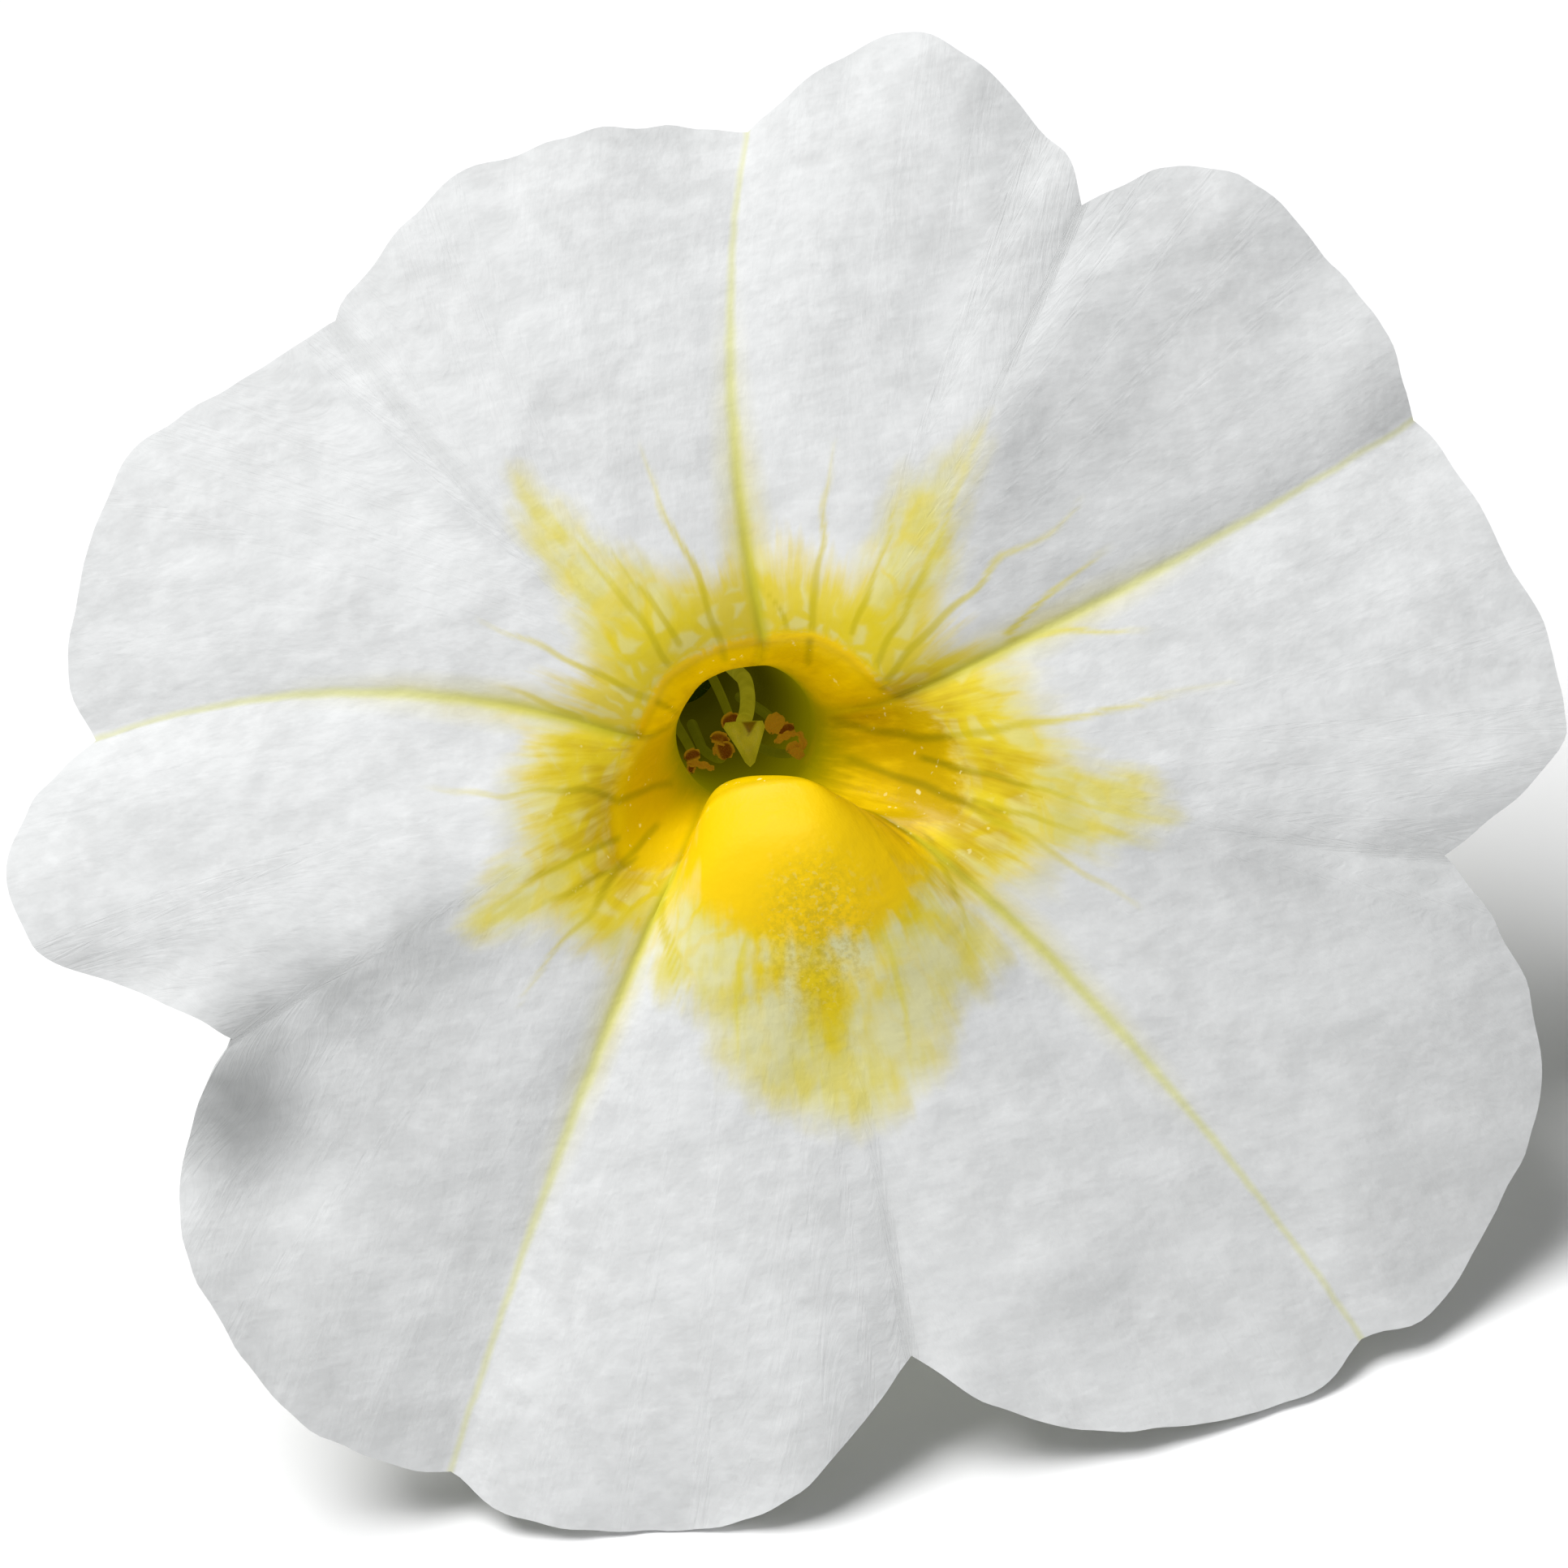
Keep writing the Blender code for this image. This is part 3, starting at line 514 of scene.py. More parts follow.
def joinTo(obj, *others):
    pick(obj, *others)
    bpy.ops.object.join()


def handOver(obj, slotName, *nodes, degrees=50):
    pick(obj)
    bpy.ops.object.shade_smooth_by_angle(angle=math.radians(degrees))
    obj.data.transform(obj.matrix_world)
    obj.matrix_world = Matrix.Identity(4)
    obj.data.update()
    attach(obj, "root")
    if nodes:
        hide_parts(*nodes)


petals = dict(
    columns=480, limbRows=54, funnelRows=20, tubeRows=8, crowding=1.3, wall=0.22, sag=2.0,
    ripple=0.055, ripplePitch=1.3, rippleStart=0.2, fineShare=0.45, fineTimes=2.7,
    frill=0.09, frillPitch=0.75, frillStart=0.8,
    openings=((3.2, 1.9, 1.0, 1.0), (7.0, 1.3, 0.8, 0.8)), softTo=0.22, softPasses=40, softShare=0.8,
    puckers=((-11.0, -5.5, 1.0, 0.38), (-7.9, -3.7, 1.1, 0.16), (5.4, -9.3, 0.9, 0.12)),
    # painted shade spots on the white tissue, darkest where one lobe tucks under the next and its shadow falls
    shadeSpots=((-10.8, -6.2, 1.35, 0.70), (-10.3, -4.7, 0.9, 0.40), (-8.7, -3.95, 1.1, 0.38),
           (-6.8, -3.15, 1.1, 0.36), (-8.2, -6.6, 2.8, 0.16), (-9.0, -9.6, 2.6, 0.10), (12.3, -1.6, 0.8, 0.28),
           (9.3, -1.6, 1.3, 0.12), (6.9, -1.5, 1.2, 0.15), (5.6, 5.2, 3.0, 0.14), (10.5, -5.0, 3.2, 0.06)))


def rowReaches():
    limb = (1 - np.arange(petals["limbRows"]) / petals["limbRows"]) ** petals["crowding"]
    funnel = -np.arange(petals["funnelRows"]) / petals["funnelRows"]
    return np.concatenate([limb, funnel, -1 - np.arange(petals["tubeRows"] + 1) / petals["tubeRows"]])


def petalPlaces(across, down):
    reaches = rowReaches()
    reach = reaches[np.rint(down * (len(reaches) - 1)).astype(int)]
    return across * form["spokes"] % form["spokes"], reach


def openness(s):
    # where the throat widens without a sharp lip: to the right and, less, to the lower left
    return np.max([share * smooth((half - np.abs(s - spoke)) / soft)
                   for spoke, half, soft, share in petals["openings"]], axis=0)


def softenLip(points, across, down, s, reach):
    # evens out the bend at the lip along each column
    rows = len(rowReaches())
    order = np.lexsort((down, across))
    sheet = points[order].reshape(-1, rows, 3)
    near = openness(s)[order] * smooth((petals["softTo"] - np.abs(reach[order])) / petals["softTo"])
    near = near.reshape(-1, rows, 1)[:, 1:-1]
    for _ in range(petals["softPasses"]):
        even = (sheet[:, :-2] + sheet[:, 2:]) / 2
        sheet[:, 1:-1] += petals["softShare"] * near * (even - sheet[:, 1:-1])
    points[order] = sheet.reshape(-1, 3)
    return points


def petalShape(across, down):
    s, reach = petalPlaces(across, down)
    points = softenLip(frontSurface(s, reach), across, down, s, reach)
    outward = points[:, :2] / np.linalg.norm(points[:, :2], axis=1, keepdims=True)
    points[:, 2] += sum(softSpots(points[:, :2], petals["puckers"])) * (reach > 0)
    pitch, fine, start = petals["ripplePitch"], petals["fineTimes"], petals["frillStart"]
    for k in np.nonzero(reach > 0)[0]:
        u, v = points[k, :2]
        low = noise.noise(Vector((u / pitch, v / pitch, 3.1)))
        high = noise.noise(Vector((fine * u / pitch, fine * v / pitch, 8.3)))
        ripple = petals["ripple"] * (low + petals["fineShare"] * high)
        points[k, 2] += ripple * min(reach[k] / petals["rippleStart"], 1.0)
        if reach[k] > start:
            wave = noise.noise(Vector((u / petals["frillPitch"], v / petals["frillPitch"], 5.5)))
            points[k, :2] += outward[k] * petals["frill"] * wave * (reach[k] - start) / (1 - start)
    return points


def petalTones(across, down, points):
    s, reach = petalPlaces(across, down)
    plan, step = points[:, :2], 0.02
    wide = np.linalg.norm(frontSurface(s + step, reach) - frontSurface(s - step, reach), axis=1) / (2 * step)
    opened = openness(s)
    return dict(reach=reach, perSpoke=wide, open=opened, star=np.where(reach > -0.3, starDepth(plan), -2),
                sideVein=veinTone(plan) * (reach > -0.9), gold=goldTone(plan, reach, opened),
                speck=fieldTone(plan, "speck") * (reach > 0),
                # painted shade spots, carried to the petals' material
                grey=np.max(softSpots(plan, petals["shadeSpots"]), axis=0))


def makeCorolla(front, behind):
    obj = gridPiece("petals", petals["columns"], len(rowReaches()) - 1, petalShape, petalTones, (front, behind))
    faceEye(obj)
    giveWall(obj, petals["wall"], back=1)
    # the thin petals bend down the last little way to the floor that the flower lies on
    points = readPoints(obj.data)
    low, sag = points[:, 2].min(), petals["sag"] * mm
    points[:, 2] -= low * smooth((low + sag - points[:, 2]) / sag)
    writePoints(obj.data, points)
    handOver(obj, "petal", "corolla", degrees=60)


# round rods along a centre line

def rodShape(centre, radius):
    def shape(across, down):
        middle = centre(down)
        ahead = centre(np.clip(down + 0.01, 0, 1)) - centre(np.clip(down - 0.01, 0, 1))
        ahead /= np.linalg.norm(ahead, axis=1, keepdims=True)
        side = np.cross(ahead, np.array([0.0, 1.0, 0.0]))
        side /= np.linalg.norm(side, axis=1, keepdims=True)
        up = np.cross(side, ahead)
        turn = 2 * math.pi * across[:, None]
        return middle + radius(down)[:, None] * (np.cos(turn) * side + np.sin(turn) * up)
    return shape


def dome(x):
    return np.sqrt(np.clip(1 - x**2, 0, 1))


def roundEnds(share, soft=0.02):
    # 0 at both ends of a rod and 1 between them, like a dome at each end
    return dome(1 - np.clip(np.minimum(share, 1 - share) / soft, 0, 1))


calyx = dict(length=3.4, floor=0.8, wall=0.5, flare=0.25, gap=0.3, clear=0.6, columns=60, sepals=5,
             sepalLength=6.0, sepalWidth=1.5, sepalSpread=1.5, sepalRoot=0.9, seat=0.6, sunk=0.3,
             keel=0.25, blade=0.3, rib=0.07, sepalRib=0.10, ribWidth=0.16, tip=0.12, twist=0.05)


def atFoot():
    foot = Vector(tubeCentre(form["tubeFoot"]))
    axis = Vector((-form["lean"][0], -form["lean"][1], 1.0)).normalized()
    return Matrix.Translation(foot) @ Vector((0, 0, 1)).rotation_difference(axis).to_matrix().to_4x4()


def footPlace(points):
    return moveBy(atFoot(), points)


def turned(x, y, turn):
    return x * math.cos(turn) - y * math.sin(turn), x * math.sin(turn) + y * math.cos(turn)


def readAlong(points, share):
    spot = share * (len(points) - 1)
    return [np.interp(spot, range(len(points)), values) for values in points.T]


def cupSize():
    inside = form["tubeRadii"][0] + calyx["clear"] + calyx["gap"]
    return inside, calyx["length"] - calyx["floor"] - calyx["gap"]


def cupShape(across, down):
    inside, top = cupSize()
    outside = inside + calyx["wall"]
    low = -calyx["gap"]
    # from the middle of the floor up the inside, over the edge and down the outside
    profile = np.array([
        (0.0, low), (inside * 0.8, low), (inside, low + 0.35), (inside + 0.12, top * 0.5),
        (inside + calyx["flare"], top), (outside + calyx["flare"] - 0.15, top + 0.1),
        (outside + calyx["flare"], top), (outside + 0.16, top * 0.5), (outside, low + 0.2),
        (outside * 0.82, low - 0.5), (outside * 0.45, low - 0.75), (0.0, low - calyx["floor"])])
    reach, height = readAlong(profile, down)
    # five ribs run down the cup below the sepals
    turn = 2 * math.pi * across
    below = down * (len(profile) - 1) > 5
    rib = calyx["rib"] * np.cos(calyx["sepals"] * turn) ** 3 * below
    reach = np.where(reach > 0.2, reach + rib - calyx["rib"] * below, reach)
    return footPlace(np.stack([reach * np.sin(turn), reach * np.cos(turn), height], -1))


def sepalShape(index):
    turn = 2 * math.pi * index / calyx["sepals"]
    inside, top = cupSize()
    outside = inside + calyx["seat"] + calyx["flare"]   # of the sepals' roots

    def shape(across, down):
        side, along = 2 * across - 1, down
        width = calyx["sepalWidth"] / 2 * (0.62 + 0.75 * along - 1.05 * along**2.4)
        width = width * np.sqrt(np.clip((1.003 - along) / calyx["tip"], 0, 1))   # rounded tip
        z = top - calyx["sepalRoot"] + (calyx["sepalLength"] + calyx["sepalRoot"]) * along
        inset = calyx["flare"] * np.clip(top - z, 0, 9) / top
        reach = outside - calyx["sunk"] - inset + calyx["sepalSpread"] * along**1.5
        rib = calyx["sepalRib"] * np.exp(-((side / calyx["ribWidth"]) ** 2))
        reach = reach + (rib - calyx["keel"] * side**2) * (1 - along)
        reach = reach + calyx["twist"] * np.sin(7 * along + index) * side
        return footPlace(np.stack([*turned(side * width, reach, turn), z], -1))
    return shape


def makeCalyx(material):
    cup = gridPiece("greenCup", calyx["columns"], 44, cupShape, lambda a, d, p: dict(rib=0 * a), (material,))
    for index in range(calyx["sepals"]):
        blade = gridPiece(f"sepal{index}", 10, 30, sepalShape(index),
                          lambda a, d, p: dict(rib=np.exp(-(((2 * a - 1) / 0.14) ** 2))), (material,))
        giveWall(blade, calyx["blade"], offset=0)
        joinTo(cup, blade)
    handOver(cup, "calyx_green", "calyx")
    return cup


stem = dict(length=7.5, tucked=0.45, tuckShare=0.08, radius=0.5, neck=0.75, neckShare=0.33, droop=0.8,
            sway=0.03, uneven=0.012, columns=24, rows=60)


def stalkCentre(share):
    start = -calyx["gap"] - calyx["floor"] - calyx["gap"]
    start = start + stem["tucked"] * (1 - smooth(share / stem["tuckShare"]))   # its head is grown into the cup
    sway, droop = stem["sway"] * np.sin(9 * share), -stem["droop"] * share**2
    return footPlace(np.stack([sway, droop, start - stem["length"] * share], -1))


def stalkRadius(share):
    swell = (stem["neck"] - stem["radius"]) * np.clip(1 - share / stem["neckShare"], 0, 1) ** 1.4
    ends = (share > 0) & (share < 1)
    return (stem["radius"] + swell + stem["uneven"] * np.sin(31 * share)) * ends


def makeStalk(material):
    obj = gridPiece("cutStalk", stem["columns"], stem["rows"], rodShape(stalkCentre, stalkRadius),
                    lambda a, d, p: dict(cut=smooth((d - 0.97) / 0.015)), (material,))
    handOver(obj, "stalk_green", "stalk")
    return obj


pistil = dict(ovary=0.5, ovaryLength=1.9, style=0.15, underRoof=0.75, roofAngle=60, climb=4.0, dip=3.0,
              centre=(-0.80, 0.92, -3.9), neck=0.30)


def stylePoint(share):
    w = form["tubeFoot"] + (pistil["centre"][2] - form["tubeFoot"]) * share
    climb = smooth((w - form["tubeFoot"] - pistil["ovaryLength"]) / pistil["climb"])
    roof = offAxis(w, pistil["roofAngle"] + 0 * w, pistil["underRoof"] * climb)
    near = smooth((w - pistil["centre"][2] + pistil["dip"]) / pistil["dip"])[:, None]
    end = np.stack([pistil["centre"][0] + 0 * w, pistil["centre"][1] + pistil["neck"] + 0 * w, w], -1)
    return (1 - near) * roof + near * end


def styleRadius(share):
    f = np.clip(share * (pistil["centre"][2] - form["tubeFoot"]) / pistil["ovaryLength"], 0, 1)
    bulge = pistil["ovary"] * dome(2 * f - 1)
    return np.maximum(pistil["style"], bulge) * roundEnds(share)


# the stigma is an arrowhead with a hollow in its face
arrow = dict(thick=0.26, hollow=0.13)


def stigmaShape(across, down):
    # round the edge by columns and from the front's middle over the edge to the back's middle by rows
    edge = np.array([(-0.78, 1.24), (-0.42, 1.24), (-0.37, 1.12), (-0.50, 0.66), (-0.57, 0.42), (-0.66, 0.33),
                     (-0.76, 0.42), (-0.92, 0.70), (-1.19, 1.10), (-1.15, 1.20), (-0.98, 1.22), (-0.78, 1.24)])
    rim = np.stack(readAlong(edge, across), -1)
    middle = np.array([-0.76, 0.92])
    over = math.pi * down[:, None]
    flat = middle + (rim - middle) * np.sin(over) ** 0.75
    near = (flat - np.array([-0.72, 1.0])) / np.array([0.20, 0.24])
    dip = arrow["hollow"] * np.exp(-(near**2).sum(-1) ** 1.5) * (down < 0.5)
    w = pistil["centre"][2] + arrow["thick"] * np.cos(over[:, 0]) - dip
    return np.concatenate([flat, w[:, None]], -1)


def stigmaTones(across, down, points):
    hollow = insideBy(points[:, :2], [(-0.84, 1.22), (-0.50, 1.25), (-0.68, 0.94)])
    return dict(hollow=smooth((hollow + 0.02) / 0.06) * (down < 0.5))


def makePistil(material):
    rod = gridPiece("styleRod", 20, 120, rodShape(stylePoint, styleRadius),
                    lambda a, d, p: dict(hollow=0 * a), (material,))
    head = gridPiece("stigma", 66, 28, stigmaShape, stigmaTones, (material,))
    joinTo(rod, head)
    handOver(rod, "pistil_green", "pistil")


stamens = dict(
    foot=-10.5, clearance=0.45, leaves=0.45, radius=0.10, below=0.13,
    angles=(205, 250, 350, 310, 110),
    centres=((-1.75, 0.52, -4.4), (-1.22, 0.52, -4.9), (-0.10, 1.10, -4.5), (0.16, 0.62, -4.2),
             (-1.05, 1.25, -5.0)))
# each anther's split valves: middle, length, width, heading in degrees, curl and redness
valves = [
    [((-1.80, 0.57, -4.35), 0.30, 0.20, 20, 0.9, 0.8), ((-1.63, 0.38, -4.35), 0.52, 0.09, -12, 0.7, 0.1),
     ((-1.82, 0.32, -4.40), 0.18, 0.12, 70, 0.9, 0.9)],
    [((-1.25, 0.90, -4.80), 0.40, 0.20, -20, 1.2, 0.7), ((-1.15, 0.66, -4.75), 0.38, 0.30, -70, 1.4, 0.9),
     ((-1.30, 0.72, -4.90), 0.28, 0.12, 60, 0.8, 0.2)],
    [((-0.19, 1.20, -4.35), 0.42, 0.30, 60, 1.0, 0.15), ((0.04, 1.08, -4.40), 0.38, 0.20, 25, 1.3, 0.9),
     ((0.02, 0.94, -4.30), 0.44, 0.10, 25, 0.8, 0.1)],
    [((0.36, 0.88, -4.15), 0.66, 0.08, -68, 2.2, 0.2), ((0.20, 0.72, -4.25), 0.30, 0.18, 15, 1.0, 0.3),
     ((0.28, 0.60, -4.20), 0.24, 0.16, -30, 1.0, 0.1)],
    [((-1.05, 1.25, -4.95), 0.40, 0.26, 30, 1.2, 0.8), ((-0.95, 1.12, -5.00), 0.34, 0.16, -40, 1.0, 0.3)],
]


def filamentCentre(index):
    top = np.array(stamens["centres"][index]) - np.array([0, 0, stamens["below"]])

    def centre(share):
        w = stamens["foot"] + (top[2] - stamens["foot"]) * share
        wall = offAxis(w, stamens["angles"][index] + 0 * w, tubeRadius(w) - stamens["clearance"])
        near = smooth((share - stamens["leaves"]) / (1 - stamens["leaves"]))[:, None]
        return (1 - near) * wall + near * np.stack([top[0] + 0 * w, top[1] + 0 * w, w], -1)
    return centre


def valveShape(middle, length, width, heading, curl):
    # a boat-shaped blade that curls towards the eye at its sides and along its length
    turn = math.radians(heading)

    def shape(across, down):
        side, along = 2 * across - 1, 2 * down - 1
        bend = curl * along
        x = length / 2 * np.sin(bend) / curl * 1.1
        arch = -length / 2 * (1 - np.cos(bend)) / curl
        half = width / 2 * dome(along) ** 0.8
        y = half * side + 0.35 * arch
        z = half * 0.9 * side**2 + 0.6 * arch + 0.02 * np.sin(9 * along + 4 * side)
        u, v = turned(x, y, turn)
        return np.stack([middle[0] + u, middle[1] + v, middle[2] + z], -1)
    return shape


def filamentRadius(share):
    return stamens["radius"] * roundEnds(share) * (1.1 - 0.25 * share)


def makeStamens(thread, pollen):
    for index in range(len(stamens["centres"])):
        rod = gridPiece(f"filament{index + 1}", 14, 60, rodShape(filamentCentre(index), filamentRadius),
                        None, (thread,))
        handOver(rod, "filament", f"filament_{index + 1}")
        parts = []
        for *valve, red in valves[index]:
            blade = gridPiece(f"anther{index + 1}", 12, 20, valveShape(*valve),
                              lambda a, d, p: dict(red=red * (1 - 0.75 * np.abs(2 * a - 1) ** 3)), (pollen,))
            faceEye(blade)
            giveWall(blade, 0.04)
            parts.append(blade)
        joinTo(*parts)
        handOver(parts[0], "anther", f"anther_{index + 1}")


# short bristly hairs: one thin cone, repeated and set on a piece's faces, bent a little

bristles = dict(
    shortest=0.55, longest=1.25, unruly=0.16, thick=0.012, sunk=0.1,
    calyxHairs=dict(count=1500, length=0.30, seed=11, slot="calyx_green"),
    stalkHairs=dict(count=1100, length=0.32, seed=12, slot="stalk_green"))


def scatterHairs(obj, name, material):
    count, length, seed, slotName = bristles[name].values()
    thick = bristles["thick"]
    mesh = obj.data
    mesh.calc_loop_triangles()
    corners = np.array([[mesh.vertices[i].co for i in tri.vertices] for tri in mesh.loop_triangles])
    normals = np.cross(corners[:, 1] - corners[:, 0], corners[:, 2] - corners[:, 0])
    areas = np.linalg.norm(normals, axis=1)
    rng = np.random.default_rng(seed)
    picks = rng.choice(len(corners), count, p=areas / areas.sum())
    a, b = rng.random((2, count))
    over = a + b > 1
    a[over], b[over] = 1 - a[over], 1 - b[over]
    tri = corners[picks]
    roots = tri[:, 0] + a[:, None] * (tri[:, 1] - tri[:, 0]) + b[:, None] * (tri[:, 2] - tri[:, 0])
    out = normals[picks] / areas[picks][:, None]
    long = length * mm * rng.uniform(bristles["shortest"], bristles["longest"], (count, 1))
    lean = rng.normal(0, bristles["unruly"], (count, 3))
    side = np.cross(out, rng.normal(0, 1, (count, 3)))
    side /= np.linalg.norm(side, axis=1, keepdims=True)
    # none grows into the floor
    tips = roots + (out + lean) * long
    clear = np.minimum(tips[:, 2], roots[:, 2]) > thick * mm
    roots, out, long, lean, side = (given[clear] for given in (roots, out, long, lean, side))
    other = np.cross(out, side)
    bpy.ops.object.select_all(action="DESELECT")
    bpy.ops.mesh.primitive_cone_add(vertices=3, radius1=1, radius2=0.05, depth=1, location=(0, 0, 0.5))
    hair = bpy.context.object
    hair.name = hair.data.name = name
    bpy.ops.object.transform_apply(location=True, rotation=True, scale=True)
    bpy.ops.object.mode_set(mode="EDIT")
    bpy.ops.mesh.select_all(action="SELECT")
    bpy.ops.mesh.bisect(plane_co=(0, 0, 0.5), plane_no=(0, 0, 1))
    bpy.ops.object.mode_set(mode="OBJECT")
    one = np.array([corner.co for corner in hair.data.vertices])
    row = hair.modifiers.new("row", "ARRAY")
    row.count = len(roots)
    row.use_relative_offset = False
    bpy.ops.object.modifier_apply(modifier="row")
    x, y, z = (one[None, :, axis, None] for axis in range(3))
    spread = thick * mm * (x * side[:, None] + y * other[:, None])
    upward, aside = (out * long)[:, None], (lean * long)[:, None]
    points = roots[:, None] + spread + (z - bristles["sunk"]) * upward + z**2 * aside
    writePoints(hair.data, points)
    hair.data.materials.append(material)
    handOver(hair, slotName, degrees=80)


# shader groups shared by several materials

def newGroup(name, floats, vectors, outputs):
    tree = hand["tree"] = bpy.data.node_groups.new(name, "ShaderNodeTree")
    for label in floats + vectors:
        kind = "NodeSocketVector" if label in vectors else "NodeSocketFloat"
        tree.interface.new_socket(name=label, in_out="INPUT", socket_type=kind)
    for label in outputs:
        tree.interface.new_socket(name=label, in_out="OUTPUT", socket_type="NodeSocketFloat")
    return tree, tree.nodes.new("NodeGroupInput").outputs, tree.nodes.new("NodeGroupOutput").inputs


def placeGroup(name, **values):
    made = addNode("Group")
    made.node_tree = groups[name]
    for key, value in values.items():
        words = "".join(" " + c if c.isupper() else c for c in key).title()
        plug(made.inputs[words], value)
    return made.outputs


def makeSpokeVeins():
    # a line on every other spoke, as wide in millimetres as asked
    labels = ("Spoke", "Per Spoke", "Reach", "Width At Throat", "Width At Rim", "Wobble")
    tree, given, out = newGroup("spokeVeins", labels, (), ("Mask",))
    aside = plus(times(fromSpoke(given["Spoke"]), given["Per Spoke"]), given["Wobble"])
    width = fade(given["Reach"], 0, 1, given["Width At Throat"], given["Width At Rim"])
    plug(out["Mask"], fade(calc("DIVIDE", calc("ABSOLUTE", aside), width), 0, 1.2, 1, 0))
    return tree


def makeTissueGrain():
    # soft clouds, tiny cells and a bump height for plant tissue
    tree, given, out = newGroup("tissueGrain", ("Scale",), ("Place",), ("Cloud", "Cells", "Height"))
    place, scale = given["Place"], given["Scale"]
    cloud = grain(place, scale, 3, 0.5)
    fine = grain(place, times(scale, 3.5), 3, 0.5)
    cells = addNode("TexVoronoi", Vector=place, Scale=times(scale, 9)).outputs["Distance"]
    plug(out["Cloud"], cloud)
    plug(out["Cells"], cells)
    plug(out["Height"], plus(plus(cloud, times(cells, 0.25)), times(fine, 0.5)))
    return tree


def makeVeinNet():
    # fine meshes between the veins, longer the farther out they lie
    tree, given, out = newGroup("veinNet", ("Spoke", "Reach"), ("Place",), ("Lines", "Inside"))
    outward = calc("POWER", calc("MAXIMUM", given["Reach"], 0), 0.55)
    shake = addNode("TexNoise", Vector=given["Place"], Scale=1700)
    moved = addNode("VectorMath")
    moved.operation = "MULTIPLY_ADD"
    plan = joined(times(given["Spoke"], 4.3), times(outward, 8.5))
    for index, value in enumerate((shake.outputs["Color"], (0.7, 0.7, 0), plan)):
        plug(moved.inputs[index], value)
    edges = addNode("TexVoronoi", Vector=moved.outputs["Vector"], Scale=1)
    edges.feature = "DISTANCE_TO_EDGE"
    plug(out["Lines"], fade(edges.outputs["Distance"], 0.02, 0.13, 1, 0))
    plug(out["Inside"], fade(edges.outputs["Distance"], 0.12, 0.3))
    return tree


def fromSpoke(spoke):
    # how far aside of the nearest even spoke, -1 to 1
    return minus(calc("MODULO", plus(spoke, 1), 2), 1)


def petalReadings():
    uv = addNode("UVMap")
    uv.uv_map = "UVMap"
    turn = addNode("SeparateXYZ", uv.outputs["UV"]).outputs["X"]
    return times(turn, form["spokes"]), readAttribute("reach"), objectPlace()


tint = dict(
    white=(0.765, 0.775, 0.775), shade=(0.72, 0.728, 0.727), bright=(0.85, 0.86, 0.86),
    # fold is painted shade in the seams and also the darker mottle of the tissue; the tint after it is painted
    # shade where one lobe tucks under the next
    fold=(0.62, 0.63, 0.625), dusk=(0.30, 0.31, 0.305),
    star=(0.74, 0.66, 0.14), starFine=(0.80, 0.64, 0.01), starPale=(0.77, 0.73, 0.30),
    netPale=(0.80, 0.71, 0.19), gold=(0.96, 0.63, 0), lipGold=(0.80, 0.57, 0.004), wall=(0.58, 0.39, 0),
    # the near black tint on this line is painted shade far down the tube
    wallVein=(0.33, 0.25, 0), olive=(0.22, 0.19, 0), deep=(0.04, 0.04, 0.001),
    veinInner=(0.60, 0.54, 0.02), veinOuter=(0.72, 0.72, 0.30), sideRoot=(0.61, 0.50, 0.008),
    side=(0.77, 0.68, 0.08), speck=(0.50, 0.38, 0.01), speckPale=(0.84, 0.72, 0.20),
    # the pale gold glint tint is a painted highlight on the throat's wall
    paintedGlint=(0.84, 0.76, 0.34), back=(0.72, 0.73, 0.70), tube=(0.60, 0.62, 0.26),
    backVein=(0.42, 0.47, 0.10), peach=(0.80, 0.52, 0.38))


